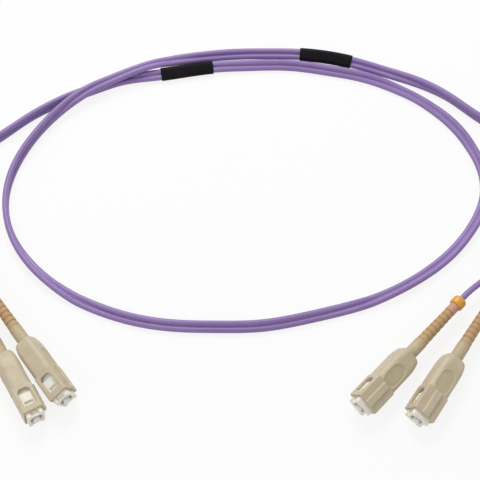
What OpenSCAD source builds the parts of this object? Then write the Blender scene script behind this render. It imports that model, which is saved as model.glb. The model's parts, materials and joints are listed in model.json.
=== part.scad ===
// Duplex fibre optic patch cord: a flat twin cable with two push-pull
// 2.5 mm ferrule connectors at each end, and two blank marker sleeves.
//
// Each connector is modelled standing up, with the ferrule's tip at the
// origin, the mating direction along +Z, the key on the -X face and the
// latch windows on the +Y and -Y faces. Depths are measured back from the tip.

/* [Cable] */
// Outer diameter of one half of the twin cable
cable_d = 2.2; // [1.8:0.1:2.3]
// Width of the web that joins the two halves
web_w = 0.1; // [0.05:0.05:0.3]
// Depth of the crease between the two halves, on each side
crease_depth = 0.65; // [0.4:0.05:0.8]
// Diameter of the tight buffer round the fibre
buffer_d = 0.9; // [0.6:0.1:1]
// Length of a marker sleeve on the twin cable
marker_len = 21; // [12:1:22]
// Wall of a marker sleeve
marker_wall = 0.3; // [0.2:0.05:0.4]

/* [Ferrule] */
// Outer diameter of the ferrule
ferrule_d = 2.5; // [2.3:0.1:2.6]
// Whole length of the ferrule
ferrule_len = 10.5; // [9.5:0.5:11]
// Length of the ferrule's root inside the flange
ferrule_root_len = 3.2; // [2.5:0.1:3.5]
// How much smaller in diameter the root is
ferrule_root_step = 0.4; // [0.3:0.05:0.6]
// Diameter of the polished tip
tip_d = 1.5; // [1.2:0.1:1.8]
// Length of the bevel behind the tip
tip_bevel_len = 0.6; // [0.4:0.1:1]
// Diameter of the flange that holds the ferrule
flange_d = 4.7; // [4.6:0.1:4.8]
// Length of the flange
flange_len = 2.2; // [1.8:0.1:3]
// Depth of the four tuning notches in the flange
notch_depth = 0.5; // [0.3:0.1:0.6]
// Diameter of the flange's tail inside the spring
tail_d = 3; // [2.8:0.1:3.2]
// Length of the flange's tail
tail_len = 4.5; // [3:0.5:5]
// How far the ferrule can be pushed back
ferrule_travel = 1; // [0.5:0.1:1.2]

/* [Spring] */
// Length of the fitted spring
spring_len = 7; // [6.5:0.5:8]
// Diameter of the spring wire
wire_d = 0.45; // [0.3:0.05:0.5]
// Mean diameter of the spring's coils
coil_d = 4; // [3.8:0.1:4.1]
// Number of coils
coils = 7; // [5:1:8]

/* [Plug frame] */
// Length of the plug frame
frame_len = 20.5; // [19.5:0.5:21.5]
// Plug frame's size across the window faces
frame_w = 7.1; // [6.8:0.1:7.1]
// Plug frame's size across the key face
frame_h = 6; // [5.8:0.1:6]
// Corner radius of the plug frame
frame_r = 0.8; // [0.4:0.1:1]
// How far the frame's front edge is behind the tip
frame_setback = 1; // [0.5:0.1:1.5]
// Diameter of the front bore, which takes the adapter's sleeve
front_bore_d = 4.4; // [4.1:0.1:4.5]
// Width of the latch channels in the frame's sides
channel_w = 3; // [2.5:0.1:3.4]
// Depth of the latch channels
channel_depth = 0.8; // [0.5:0.1:0.9]
// Length of the latch channels
channel_len = 6; // [5:0.1:6]
// Height of the catch in each latch channel
catch_h = 0.55; // [0.3:0.05:0.75]
// Length of the catch
catch_len = 2.4; // [1.5:0.1:3]
// Distance from the frame's front edge to the catch
catch_start = 1.4; // [1:0.1:2]

/* [Outer housing] */
// Length of the outer housing
housing_len = 25; // [24:0.5:26]
// How far the housing's front edge is behind the tip
housing_setback = 3; // [2.5:0.1:3.5]
// Length of the front part that enters an adapter
nose_len = 10; // [9.5:0.5:11]
// Width of the front part
nose_w = 9; // [8.8:0.1:9.2]
// Height of the front part
nose_h = 7.4; // [7.2:0.1:7.6]
// Corner radius of the front part
nose_r = 0.6; // [0.3:0.1:0.8]
// Width of the finger grip
grip_w = 9.1; // [9:0.1:9.6]
// Height of the finger grip
grip_h = 7.8; // [7.8:0.1:8.4]
// Corner radius of the finger grip
grip_r = 2.3; // [1.2:0.1:2.4]
// Length of the rounded rear end
rear_round_len = 6.5; // [4:0.1:7]
// How much the rear end is drawn in on each narrow face
rear_draw_w = 1.5; // [0.8:0.1:1.6]
// How much the rear end is drawn in on each broad face
rear_draw_h = 1; // [0.6:0.1:1.1]
// Width of the key
key_w = 2.6; // [2.2:0.1:3]
// Height of the key above the front part
key_h = 0.85; // [0.6:0.05:0.9]
// Height of the latch windows
window_h = 4.4; // [3.6:0.1:4.8]
// Length of the latch windows
window_len = 6.5; // [5.5:0.1:7]
// Distance from the housing's front edge to the windows
window_start = 2.2; // [1.8:0.1:2.8]
// Width of the oval finger recesses
recess_w = 5.4; // [4:0.1:6]
// Length of the oval finger recesses
recess_len = 9; // [7.5:0.5:10]
// Depth of the oval finger recesses
recess_depth = 0.3; // [0.1:0.05:0.4]
// How far the housing can be pulled back on the frame
housing_travel = 2; // [1:0.1:2.2]
// Height of the stop lugs on the frame
lug_h = 0.4; // [0.2:0.05:0.4]
// Length of the stop lugs
lug_len = 1.6; // [1:0.1:2]
// Width of the stop lugs
lug_w = 2.4; // [1.5:0.1:3]
// Distance from the frame's rear edge to the stop lugs
lug_rear = 2.9; // [2.5:0.1:3.2]

/* [Backbone and crimp] */
// Diameter of the backbone's shoulder behind the frame
shoulder_d = 5.8; // [5.5:0.1:5.9]
// Length of the backbone's shoulder
shoulder_len = 0.9; // [0.6:0.1:1.2]
// Diameter of the crimp barrel
barrel_d = 3.2; // [3:0.1:3.3]
// Length of the crimp barrel
barrel_len = 7.2; // [6:0.2:8]
// Depth of the barrel's grip grooves
groove_depth = 0.15; // [0.1:0.05:0.3]
// Bore through the backbone
backbone_bore_d = 2; // [1.6:0.1:2.2]
// Length of the backbone's snap teeth
tooth_len = 1.2; // [0.8:0.1:1.4]
// Width of the backbone's snap teeth
tooth_w = 2.2; // [1.4:0.1:2.4]
// Wall of the crimp sleeve
crimp_wall = 0.25; // [0.2:0.05:0.3]
// Room for the strength yarns between barrel and crimp sleeve
yarn_gap = 0.05; // [0.03:0.01:0.08]

/* [Boot] */
// Length of the boot
boot_len = 34; // [31:0.5:35]
// Length of the boot's smooth neck
neck_len = 12; // [10:0.2:12.6]
// Diameter of the boot's neck
neck_d = 4.6; // [4.5:0.1:4.8]
// Diameter of the first rib
rib_front_d = 4.3; // [4:0.1:4.6]
// Diameter of the last rib
rib_rear_d = 3.8; // [3.7:0.1:4.1]
// Number of ribs
ribs = 7; // [5:1:8]
// Length of the ribbed stretch
rib_stretch = 15.4; // [14:0.2:16]
// Width of the grooves between ribs
rib_gap = 0.7; // [0.4:0.1:0.9]
// Depth of the grooves between ribs
rib_groove = 0.35; // [0.2:0.05:0.4]
// Radial room between boot and cable
boot_cable_gap = 0.15; // [0.1:0.05:0.2]
// Length of the coloured collar
collar_len = 3.6; // [3:0.1:4.5]
// Diameter of the coloured collar
collar_d = 5.1; // [4.9:0.1:5.6]
// Thickness of the collar's end wall
collar_end = 0.9; // [0.6:0.1:1.2]

/* [Hidden] */
// Clearances
slide_gap = 0.1;    // plug frame in housing, each side
chamber_gap = 0.15; // flange in its chamber, radial
seat_gap = 0.02;    // flange against its step
spring_gap = 0.05;  // at each end of the spring
fit_gap = 0.05;     // assembled parts, radial
pass_gap = 0.2;     // backbone shoulder and boot in the housing's rear hole
yarn_room = 0.8;    // end of the barrel to the cable's jacket
marker_gap = 0.1;   // cable in its marker sleeve
cut = 1;            // how far a cutter runs past a face
tooth_inset = 1.9;  // snap teeth to the frame's rear edge
groove_w = 0.5;     // width of the barrel's grip grooves
barrel_land = 1.2;  // plain stretch of the barrel, both ends together

// Ferrule, flange and spring, as depths behind the tip
flange_front = ferrule_len - ferrule_root_len;
flange_rear = flange_front + flange_len;
spring_front = flange_rear + spring_gap;
backbone_front = spring_front + spring_len + spring_gap;
chamber_d = flange_d + 2 * chamber_gap;
root_d = ferrule_d - ferrule_root_step;

// Plug frame and backbone
frame_rear = frame_setback + frame_len;
insert_d = chamber_d - 2 * fit_gap;
shoulder_rear = frame_rear + shoulder_len;
barrel_rear = shoulder_rear + barrel_len;
tooth_rear = frame_rear - tooth_inset;
tooth_h = (frame_h - insert_d) / 2 - fit_gap;
crimp_id = barrel_d + 2 * yarn_gap;
crimp_od = crimp_id + 2 * crimp_wall;
lug_back = frame_rear - lug_rear;

// Outer housing
housing_rear = housing_setback + housing_len;
grip_front = housing_setback + nose_len;
tunnel_w = frame_w + 2 * slide_gap;
tunnel_h = frame_h + 2 * slide_gap;
tunnel_rear = frame_rear + slide_gap;
shoulder_hole_d = shoulder_d + 2 * pass_gap;
rear_hole_d = neck_d + 2 * pass_gap;
recess_mid = (grip_front + housing_rear - rear_round_len) / 2;

// Boot, collar and cable
boot_rear = shoulder_rear + boot_len;
boot_pocket_d = crimp_od + 2 * fit_gap;
boot_pocket_rear = barrel_rear + yarn_room;
boot_bore_d = cable_d + 2 * boot_cable_gap;
ribs_front = shoulder_rear + neck_len + 0.7;
rib_pitch = rib_stretch / ribs;
collar_rear = boot_rear + collar_end;
jacket_front = boot_pocket_rear + 0.1;
cable_pitch = cable_d + web_w;

// Where the connectors lie: x and y of each ferrule tip, the heading of the
// mating direction and the roll about it
ENDS = ["a1", "a2", "b1", "b2"];
TIPS = [[-54.7, -19.3], [-64.5, -25.9], [43, -22], [62.2, -26.4]];
HEADINGS = [-53.5, -59.5, -133, -124];
ROLLS = [-64, -94, -33, -28];

// Route of the twin cable: x, y, lift off the table and tilt of the flat section
ROUTE = [
    [-121.5, 70, 0, 0],
    [-113, 79.5, 0, 20],
    [-101.5, 85, 0, 50],
    [-90.5, 91.5, 0, 75],
    [-79.5, 101, 0, 85],
    [-67, 109.5, 0, 60],
    [-53.5, 116.5, 0, 10],
    [-41, 121, 0.2, 0],
    [-29.5, 122.5, 0.4, 25],
    [-6.5, 126.5, 0.4, 25],
    [8, 127.5, 0, 35],
    [24, 127.5, 0, 35],
    [39, 125, 0, 35],
    [53.5, 121.5, 0, 35],
    [67, 115.5, 0, 0],
    [79, 107, 0, 0],
    [88.5, 96, 0, 15],
    [95, 82, 0, -10],
    [96.5, 68, 0, 0],
    [91, 54, 0, 30],
    [81.5, 41.5, 0, 20],
    [69.5, 31.5, 0, 20],
    [56.5, 24, 0, 15],
    [42, 18.5, 0, -20],
    [27, 14.5, 0, -30],
    [11.5, 11.5, 0, -30],
    [-4.5, 11, 0, -30],
    [-20, 11.5, 0, -30],
    [-35, 14, 0, -30],
    [-49, 19, 0, -20],
    [-62, 26.5, 0, 25],
    [-73.5, 37, 0, 50],
    [-81.5, 50, 0, 80],
    [-84.5, 65, 0, 90],
    [-82, 79.5, 0.3, 75],
    [-76, 92, 0.8, 75],
    [-67.5, 103.5, 1.4, 60],
    [-57, 113, 2.6, 20],
    [-44, 120.5, 2.9, -5],
    [-30, 126.5, 3, -10],
    [-15, 130.5, 1.2, 25],
    [0, 133, 0.1, 35],
    [13, 133.5, 0, 30],
    [26, 133, 0.3, 35],
    [49.5, 128.5, 0.4, 35],
    [61, 124.5, 0.1, 30],
    [74, 119, 0, 55],
    [86.5, 111, 0, 85],
    [97, 101.5, 0, 80],
    [107.5, 93.5, 0, 55],
    [115.5, 83.5, 0, 20],
    [120.5, 72, 0, 0]
];
// Free points of the four single legs, from the connector to the twin cable
LEGS = [
    [[-95.5, 34, 5], [-104, 40, 3], [-112.5, 45.5, 1.6], [-120, 51, 1.2], [-124.5, 60, 1.2]],
    [[-100, 31.5, 4.2], [-110, 37.5, 2.4], [-120, 43, 1.3], [-126.5, 51.5, 1.2], [-127.5, 62, 1.2]],
    [[88.5, 26, 5], [97, 33.5, 3], [105, 41.5, 1.6], [113, 51, 1.2], [120, 60, 1.2]],
    [[99.5, 28, 4.7], [107, 35.5, 2.6], [116, 43, 1.4], [122, 52, 1.2], [124, 62.5, 1.2]]
];
// Which marker sleeve sits on which straight of the route
MARKERS = ["marker_a", "marker_b"];
MARKER_AT = [8, 43];

PIECES = [
    "grip", "plug_frame", "ferrule", "flange", "spring", "buffer",
    "backbone", "crimp", "boot", "collar", "leg"
];

beige = [0.74, 0.68, 0.58];
ivory = [0.93, 0.92, 0.87];
violet = [0.5, 0.4, 0.64];

// ---- vectors and swept tubes -------------------------------------------

function unit(v) = v / norm(v);

// Heading of a route at point i, level with the table for the section's frame
function heading(path, i) =
    unit(path[min(i + 1, len(path) - 1)] - path[max(i - 1, 0)]);

// One ring of a swept tube: the flat section, tilted about the path
function ring(path, i, tilt, section) =
    let (
        along = heading(path, i),
        side = unit(cross([0, 0, 1], along)),
        upright = cross(along, side),
        wide = side * cos(tilt) + upright * sin(tilt),
        thin = cross(along, wide)
    )
    [for (p = section) path[i] + wide * p[0] + thin * p[1]];

// Closed tube through every ring, with fans of triangles at both ends
module tube(path, tilts, section) {
    n = len(section);
    last = len(path) - 1;
    rings = [for (i = [0:last]) ring(path, i, tilts[i], section)];
    points = concat([for (r = rings) each r], [path[0], path[last]]);
    sides = [
        for (i = [0:last - 1])
            for (k = [0:n - 1])
                let (a = i * n + k, b = i * n + (k + 1) % n)
                each [[a, b + n, b], [a, a + n, b + n]]
    ];
    front = [for (k = [0:n - 1]) [k, (k + 1) % n, n * (last + 1)]];
    back = [for (k = [0:n - 1]) [last * n + (k + 1) % n, last * n + k, n * (last + 1) + 1]];
    polyhedron(points, faces = concat(sides, front, back));
}

// Outline of the twin cable: five points round each half, one in each crease
function twin_section() =
    let (r = cable_d / 2, lobe = [-100, -50, 0, 50, 100])
    concat(
        [for (a = lobe) [cable_pitch / 2 + r * cos(a), r * sin(a)]],
        [[0, r - crease_depth]],
        [for (a = lobe) [-cable_pitch / 2 - r * cos(a), -r * sin(a)]],
        [[0, crease_depth - r]]
    );

function round_section(d, sides) =
    [for (k = [0:sides - 1]) d / 2 * [cos(360 * k / sides), sin(360 * k / sides)]];

// Height of the twin cable's centre when it lies tilted on the table
function lying(tilt) = (cable_d + cable_pitch * abs(sin(tilt))) / 2;

cord_path = [for (p = ROUTE) [p[0], p[1], lying(p[3]) + p[2]]];
cord_tilts = [for (p = ROUTE) p[3]];
cord_last = len(ROUTE) - 1;

// ---- placing a connector ------------------------------------------------

// Reach of a rolled bar with round corners below its axis
function reach(w, h, r, roll) =
    (w / 2 - r) * abs(sin(roll)) + (h / 2 - r) * abs(cos(roll)) + r;

// Height of a connector's axis when its housing rests on the table
function axis_height(i) = max(
    reach(nose_w, nose_h, nose_r, ROLLS[i]),
    reach(grip_w, grip_h, grip_r, ROLLS[i])
);

function mating_direction(i) = [cos(HEADINGS[i]), sin(HEADINGS[i]), 0];

// A point on connector i's axis, at a depth behind the tip
function axis_point(i, depth) =
    [TIPS[i][0], TIPS[i][1], axis_height(i)] - mating_direction(i) * depth;

module lay(i) {
    translate(axis_point(i, 0))
        rotate([0, 0, HEADINGS[i]])
            rotate([ROLLS[i], 0, 0])
                rotate([0, 90, 0])
                    children();
}

// ---- helpers for the connector's pieces ----------------------------------

// Cylinder from one depth to a greater one
module rod(d, from, to) {
    translate([0, 0, -to])
        cylinder(d = d, h = to - from, $fn = 48);
}

// Cone between two depths
module taper(d_front, d_rear, from, to) {
    translate([0, 0, -to])
        cylinder(d1 = d_rear, d2 = d_front, h = to - from, $fn = 48);
}

// Box from one depth to a greater one, centred on the axis
module block(h, w, from, to) {
    translate([-h / 2, -w / 2, -to])
        cube([h, w, to - from]);
}

// Bar with round corners from one depth to a greater one
module round_bar(h, w, r, from, to) {
    translate([0, 0, -to])
        linear_extrude(to - from)
            union() {
                square([h - 2 * r, w], center = true);
                square([h, w - 2 * r], center = true);
                for (x = [-1, 1], y = [-1, 1])
                    translate([x * (h / 2 - r), y * (w / 2 - r)])
                        circle(r, $fn = 32);
            }
}

// Copies on the +Y and -Y faces
module both_sides() {
    children();
    mirror([0, 1, 0])
        children();
}

// ---- pieces of one connector -----------------------------------------------

// Profile that draws the housing's rear end in by draw on two opposite faces
module drawn_in(width, draw, reach) {
    half = width / 2;
    straight = housing_rear - rear_round_len;
    rotate([90, 0, 0])
        linear_extrude(reach, center = true)
            polygon([
                [-half, -housing_setback],
                [-half, -straight],
                [-half + 0.2 * draw, -straight - 0.5 * rear_round_len],
                [-half + 0.5 * draw, -straight - 0.85 * rear_round_len],
                [-half + draw, -housing_rear],
                [half - draw, -housing_rear],
                [half - 0.5 * draw, -straight - 0.85 * rear_round_len],
                [half - 0.2 * draw, -straight - 0.5 * rear_round_len],
                [half, -straight],
                [half, -housing_setback]
            ]);
}

// Oval cutter for a finger recess on a broad face
module recess_cutter() {
    straight = recess_len - recess_w;
    union() {
        block(2 * recess_depth, recess_w, recess_mid - straight / 2, recess_mid + straight / 2);
        for (end = [-1, 1])
            translate([0, 0, -recess_mid + end * straight / 2])
                rotate([0, 90, 0])
                    cylinder(d = recess_w, h = 2 * recess_depth, center = true, $fn = 48);
    }
}

// Latch window with a round rear edge, cut right through both sides
module window_cutter() {
    front = housing_setback + window_start;
    rear = front + window_len;
    corner = window_h / 3;
    block(window_h, 2 * nose_w, front, rear - corner);
    block(window_h - 2 * corner, 2 * nose_w, front, rear);
    for (x = [-1, 1])
        translate([x * (window_h / 2 - corner), 0, -(rear - corner)])
            rotate([90, 0, 0])
                cylinder(r = corner, h = 2 * nose_w, center = true, $fn = 48);
}

module grip() {
    color(beige)
        difference() {
            intersection() {
                union() {
                    round_bar(nose_h, nose_w, nose_r, housing_setback, grip_front);
                    round_bar(grip_h, grip_w, grip_r, grip_front, housing_rear);
                    translate([-nose_h / 2 - key_h, -key_w / 2, -grip_front - 1])
                        cube([key_h + 0.5, key_w, nose_len + 1]);
                }
                union() {
                    drawn_in(grip_h, rear_draw_h, 2 * grip_w);
                    block(4 * grip_h, 2 * grip_w, housing_setback, grip_front + 1);
                }
                rotate([0, 0, 90])
                    drawn_in(grip_w, rear_draw_w, 4 * grip_h);
            }
            round_bar(tunnel_h, tunnel_w, frame_r + slide_gap, housing_setback - cut, tunnel_rear);
            rod(shoulder_hole_d, tunnel_rear - cut, shoulder_rear + pass_gap);
            rod(rear_hole_d, shoulder_rear, housing_rear + cut);
            window_cutter();
            for (x = [-1, 1])
                translate([x * grip_h / 2, 0, 0])
                    recess_cutter();
            block(
                lug_w + 2 * slide_gap, tunnel_w + 2 * lug_h,
                lug_back - lug_len - housing_travel - slide_gap, lug_back + slide_gap
            );
        }
}

// Catch in a latch channel: a ramp that the adapter's hook climbs
module catch_ramp() {
    front = frame_setback + catch_start;
    floor_y = frame_w / 2 - channel_depth;
    rotate([0, 0, 90])
        rotate([90, 0, 0])
            linear_extrude(channel_w, center = true)
                polygon([
                    [floor_y - 0.1, -front],
                    [floor_y, -front],
                    [floor_y + catch_h, -front - 0.8 * catch_len],
                    [floor_y + catch_h, -front - catch_len],
                    [floor_y - 0.1, -front - catch_len]
                ]);
}

module latch_channel() {
    translate([-channel_w / 2, frame_w / 2 - channel_depth, -frame_setback - channel_len])
        cube([channel_w, 2 * channel_depth, channel_len + cut]);
}

module plug_frame() {
    color(ivory)
        difference() {
            union() {
                difference() {
                    round_bar(frame_h, frame_w, frame_r, frame_setback, frame_rear);
                    both_sides() latch_channel();
                }
                both_sides() catch_ramp();
                block(lug_w, frame_w + 2 * lug_h, lug_back - lug_len, lug_back);
            }
            rod(front_bore_d, frame_setback - cut, flange_front);
            taper(front_bore_d + 0.6, front_bore_d, frame_setback - 0.001, frame_setback + 0.3);
            rod(chamber_d, flange_front - seat_gap, frame_rear + cut);
            block(
                2 * frame_h, tooth_w + 2 * fit_gap,
                tooth_rear - tooth_len - fit_gap, tooth_rear + fit_gap
            );
        }
}

module ferrule() {
    color("white")
        union() {
            taper(tip_d, ferrule_d, 0, tip_bevel_len);
            rod(ferrule_d, tip_bevel_len, flange_front);
            rod(root_d, flange_front, ferrule_len);
        }
}

module flange() {
    color([0.75, 0.75, 0.77])
        difference() {
            union() {
                rod(flange_d, flange_front, flange_rear);
                rod(tail_d, flange_rear, flange_rear + tail_len);
            }
            rod(root_d, flange_front - cut, ferrule_len);
            rod(buffer_d + 2 * fit_gap, flange_front, flange_rear + tail_len + cut);
            for (turn = [0:90:270])
                rotate([0, 0, turn])
                    translate([flange_d / 2 - notch_depth, -0.4, -flange_rear + 0.6])
                        cube([flange_d, 0.8, flange_len]);
        }
}

// One unbroken wire, eight points to a coil and six sides
module spring() {
    steps = 8 * coils;
    rise = spring_len - wire_d;
    path = [
        for (k = [0:steps])
            [
                coil_d / 2 * cos(45 * k), coil_d / 2 * sin(45 * k),
                -spring_front - wire_d / 2 - rise * k / steps
            ]
    ];
    color([0.6, 0.62, 0.65])
        tube(path, [for (k = [0:steps]) 0], round_section(wire_d, 6));
}

module buffer() {
    color([0.95, 0.95, 0.9])
        rod(buffer_d, ferrule_len, barrel_rear - ferrule_travel);
}

module backbone() {
    grooves = 4;
    pitch = (barrel_len - barrel_land) / grooves;
    color([0.8, 0.8, 0.78])
        difference() {
            union() {
                rod(insert_d, backbone_front, frame_rear);
                rod(shoulder_d, frame_rear, shoulder_rear);
                rod(barrel_d, shoulder_rear, barrel_rear);
                block(insert_d + 2 * tooth_h, tooth_w, tooth_rear - tooth_len, tooth_rear);
            }
            rod(backbone_bore_d, backbone_front - cut, barrel_rear + cut);
            for (k = [0:grooves - 1])
                let (front = shoulder_rear + barrel_land - 0.2 + k * pitch)
                difference() {
                    rod(barrel_d + 2 * cut, front, front + groove_w);
                    rod(barrel_d - 2 * groove_depth, front - cut, front + groove_w + cut);
                }
        }
}

module crimp() {
    color([0.78, 0.7, 0.5])
        difference() {
            rod(crimp_od, shoulder_rear, barrel_rear);
            rod(crimp_id, shoulder_rear - cut, barrel_rear + cut);
        }
}

// Diameter over the ribs at rib k
function rib_d(k) = rib_front_d + (rib_rear_d - rib_front_d) * k / (ribs - 1);

module boot() {
    neck_rear = shoulder_rear + neck_len;
    color([0.72, 0.6, 0.48])
        difference() {
            union() {
                rod(neck_d, shoulder_rear, neck_rear);
                taper(neck_d, rib_front_d, neck_rear, ribs_front);
                for (k = [0:ribs - 1]) {
                    rod(
                        rib_d(k),
                        ribs_front + k * rib_pitch, ribs_front + (k + 1) * rib_pitch - rib_gap
                    );
                    rod(
                        rib_d(k) - 2 * rib_groove,
                        ribs_front + (k + 1) * rib_pitch - rib_gap - 0.01,
                        ribs_front + (k + 1) * rib_pitch + 0.01
                    );
                }
                rod(rib_rear_d, ribs_front + rib_stretch, boot_rear);
            }
            rod(boot_pocket_d, shoulder_rear - cut, boot_pocket_rear);
            rod(boot_bore_d, boot_pocket_rear - cut, boot_rear + cut);
        }
}

module collar() {
    front = collar_rear - collar_len;
    bevel = 0.4;
    color([0.9, 0.6, 0.2])
        difference() {
            union() {
                taper(collar_d - 2 * bevel, collar_d, front, front + bevel);
                rod(collar_d, front + bevel, collar_rear - bevel);
                taper(collar_d, collar_d - 2 * bevel, collar_rear - bevel, collar_rear);
            }
            rod(rib_rear_d, front - cut, boot_rear);
            rod(boot_bore_d, front, collar_rear + cut);
        }
}

// ---- cable ---------------------------------------------------------------------

// Path of the single leg from inside the boot of connector i to its half of
// the twin cable
function leg_path(i) =
    let (
        at_start = i < 2,
        split = at_start ? 0 : cord_last,
        along = at_start ? heading(cord_path, 0) : -heading(cord_path, cord_last),
        side = unit(cross([0, 0, 1], along)),
        half = (i % 2 == 0) == at_start ? -1 : 1,
        face = cord_path[split] + half * side * cable_pitch / 2
    )
    concat(
        [axis_point(i, jacket_front), axis_point(i, collar_rear + cable_d)],
        LEGS[i],
        [face - along * cable_d, face]
    );

module leg(i) {
    path = leg_path(i);
    color(violet)
        tube(path, [for (p = path) 0], round_section(cable_d, 8));
}

module duplex_cord() {
    color(violet)
        tube(cord_path, cord_tilts, twin_section());
}

// Flat sleeve round the twin cable, on the straight that starts at point i
module marker(i) {
    from = cord_path[i];
    to = cord_path[i + 1];
    along = unit(to - from);
    side = unit(cross([0, 0, 1], along));
    upright = cross(along, side);
    wide = side * cos(cord_tilts[i]) + upright * sin(cord_tilts[i]);
    thin = cross(along, wide);
    middle = (from + to) / 2;
    bore_d = cable_d + 2 * marker_gap;
    color([0.07, 0.07, 0.08])
        multmatrix([
            [wide[0], thin[0], along[0], middle[0]],
            [wide[1], thin[1], along[1], middle[1]],
            [wide[2], thin[2], along[2], middle[2]]
        ])
            difference() {
                flat_bar(bore_d + 2 * marker_wall, marker_len);
                flat_bar(bore_d, marker_len + 2 * cut);
            }
}

// Bar with half-round edges, as thick as d, that follows the twin cable
module flat_bar(d, length) {
    linear_extrude(length, center = true)
        union() {
            square([cable_pitch, d], center = true);
            for (x = [-1, 1])
                translate([x * cable_pitch / 2, 0])
                    circle(d = d, $fn = 48);
        }
}

// ---- measurements ----------------------------------------------------------------

function total(values) = values * [for (v = values) 1];

function path_length(path) =
    total([for (i = [1:len(path) - 1]) norm(path[i] - path[i - 1])]);

// Distance from a point to the straight line between a and b
function line_gap(p, a, b) =
    let (t = max(0, min(1, (p - a) * (b - a) / ((b - a) * (b - a)))))
    norm(p - a - (b - a) * t);

// Least gap between two passes of the twin cable, measured from the corners of
// its rings to the lengthwise edges of the other pass
cord_rings = [
    for (i = [0:cord_last])
        ring(cord_path, i, cord_tilts[i], twin_section())
];
pass_gaps = [
    for (i = [0:cord_last])
        for (j = [0:cord_last - 1])
            if (abs(i - j) > 8 && norm(cord_path[i] - cord_path[j]) < 6 * cable_pitch)
                for (p = cord_rings[i], k = [0:len(cord_rings[j]) - 1])
                    line_gap(p, cord_rings[j][k], cord_rings[j + 1][k])
];

function patch_length(k) =
    2 * jacket_front + path_length(leg_path(k)) + path_length(cord_path)
    + path_length(leg_path(k + 2));

echo(str("Length over the ferrule tips: ", patch_length(0), " and ", patch_length(1), " mm"));
echo(str("Least gap between passes of the cable: ", min(pass_gaps), " mm"));

// ---- output --------------------------------------------------------------------

for (i = [0:len(ENDS) - 1]) {
    lay(i) grip();
    lay(i) plug_frame();
    lay(i) ferrule();
    lay(i) flange();
    lay(i) spring();
    lay(i) buffer();
    lay(i) backbone();
    lay(i) crimp();
    lay(i) boot();
    lay(i) collar();
    leg(i);
}
duplex_cord();
for (k = [0:len(MARKERS) - 1])
    marker(MARKER_AT[k]);
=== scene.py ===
"""Dresses a duplex fibre optic patch cord for its studio picture.

A flat twin cable lies in one and a third loops and splits into two single
legs at each end.  Each leg ends in a square push-pull plug with a ribbed boot
and an amber collar.  Sizes are in millimetres until a mesh is placed.
"""

from __future__ import annotations

import json
import logging
import math
from dataclasses import dataclass, field
from enum import Enum
from typing import Callable

import bpy
import numpy as np
from mathutils import Matrix, Vector

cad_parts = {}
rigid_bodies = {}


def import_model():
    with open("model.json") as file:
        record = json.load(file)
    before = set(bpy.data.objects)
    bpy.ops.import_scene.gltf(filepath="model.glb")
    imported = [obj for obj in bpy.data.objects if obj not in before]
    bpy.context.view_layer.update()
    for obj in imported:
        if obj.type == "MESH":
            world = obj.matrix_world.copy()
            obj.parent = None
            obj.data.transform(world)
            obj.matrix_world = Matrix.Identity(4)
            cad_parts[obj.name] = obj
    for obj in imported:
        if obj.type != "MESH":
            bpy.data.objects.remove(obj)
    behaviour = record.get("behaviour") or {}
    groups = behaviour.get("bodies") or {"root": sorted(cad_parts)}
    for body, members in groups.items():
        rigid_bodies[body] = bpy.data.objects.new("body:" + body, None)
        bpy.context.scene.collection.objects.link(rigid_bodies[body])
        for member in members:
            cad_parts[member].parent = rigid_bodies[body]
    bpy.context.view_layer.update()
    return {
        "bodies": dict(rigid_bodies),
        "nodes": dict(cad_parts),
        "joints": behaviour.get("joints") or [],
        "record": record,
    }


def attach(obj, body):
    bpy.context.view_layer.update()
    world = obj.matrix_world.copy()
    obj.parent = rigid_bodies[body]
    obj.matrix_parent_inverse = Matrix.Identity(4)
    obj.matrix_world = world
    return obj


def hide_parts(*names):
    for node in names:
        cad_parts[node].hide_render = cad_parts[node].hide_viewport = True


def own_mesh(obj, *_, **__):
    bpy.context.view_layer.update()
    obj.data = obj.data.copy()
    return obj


LOG = logging.getLogger("patch_cord")
MM = 0.001
UP = np.array([0.0, 0.0, 1.0])
Colour = tuple[float, float, float, float]
Number = float | np.ndarray
Field3 = Callable[[np.ndarray, np.ndarray, np.ndarray], np.ndarray]


def srgb(red: int, green: int, blue: int) -> Colour:
    """Turns a display colour into the linear one that shaders take.

    Args:
        red: Red from 0 to 255.
        green: Green from 0 to 255.
        blue: Blue from 0 to 255.

    Returns:
        The linear colour with full alpha.
    """
    parts = [v / 255 for v in (red, green, blue)]
    linear = [v / 12.92 if v <= 0.04045 else ((v + 0.055) / 1.055) ** 2.4 for v in parts]
    return (linear[0], linear[1], linear[2], 1.0)


def unit(vector: np.ndarray) -> np.ndarray:
    """The vector at length one."""
    return vector / np.linalg.norm(vector)


def link(name: str, data: bpy.types.ID) -> bpy.types.Object:
    """Puts a new object with this data in the scene."""
    made = bpy.data.objects.new(name, data)
    bpy.context.scene.collection.objects.link(made)
    return made


def evaluated(carrier: bpy.types.Object) -> bpy.types.Mesh:
    """The mesh that an object's modifiers make; the object itself goes."""
    graph = bpy.context.evaluated_depsgraph_get()
    made = bpy.data.meshes.new_from_object(carrier.evaluated_get(graph))
    bpy.data.objects.remove(carrier)
    return made


def vertices(mesh: bpy.types.Mesh) -> np.ndarray:
    """Every vertex's place, one row each."""
    spots = np.zeros(len(mesh.vertices) * 3)
    mesh.vertices.foreach_get("co", spots)
    return spots.reshape(-1, 3)


def mark(mesh: bpy.types.Mesh, name: str, values: np.ndarray) -> None:
    """Keeps a number for every vertex, under a name that shaders read."""
    layer = mesh.attributes.new(name, "FLOAT", "POINT")
    layer.data.foreach_set("value", values.astype(np.float32))


# ---- sizes and places ----


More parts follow.
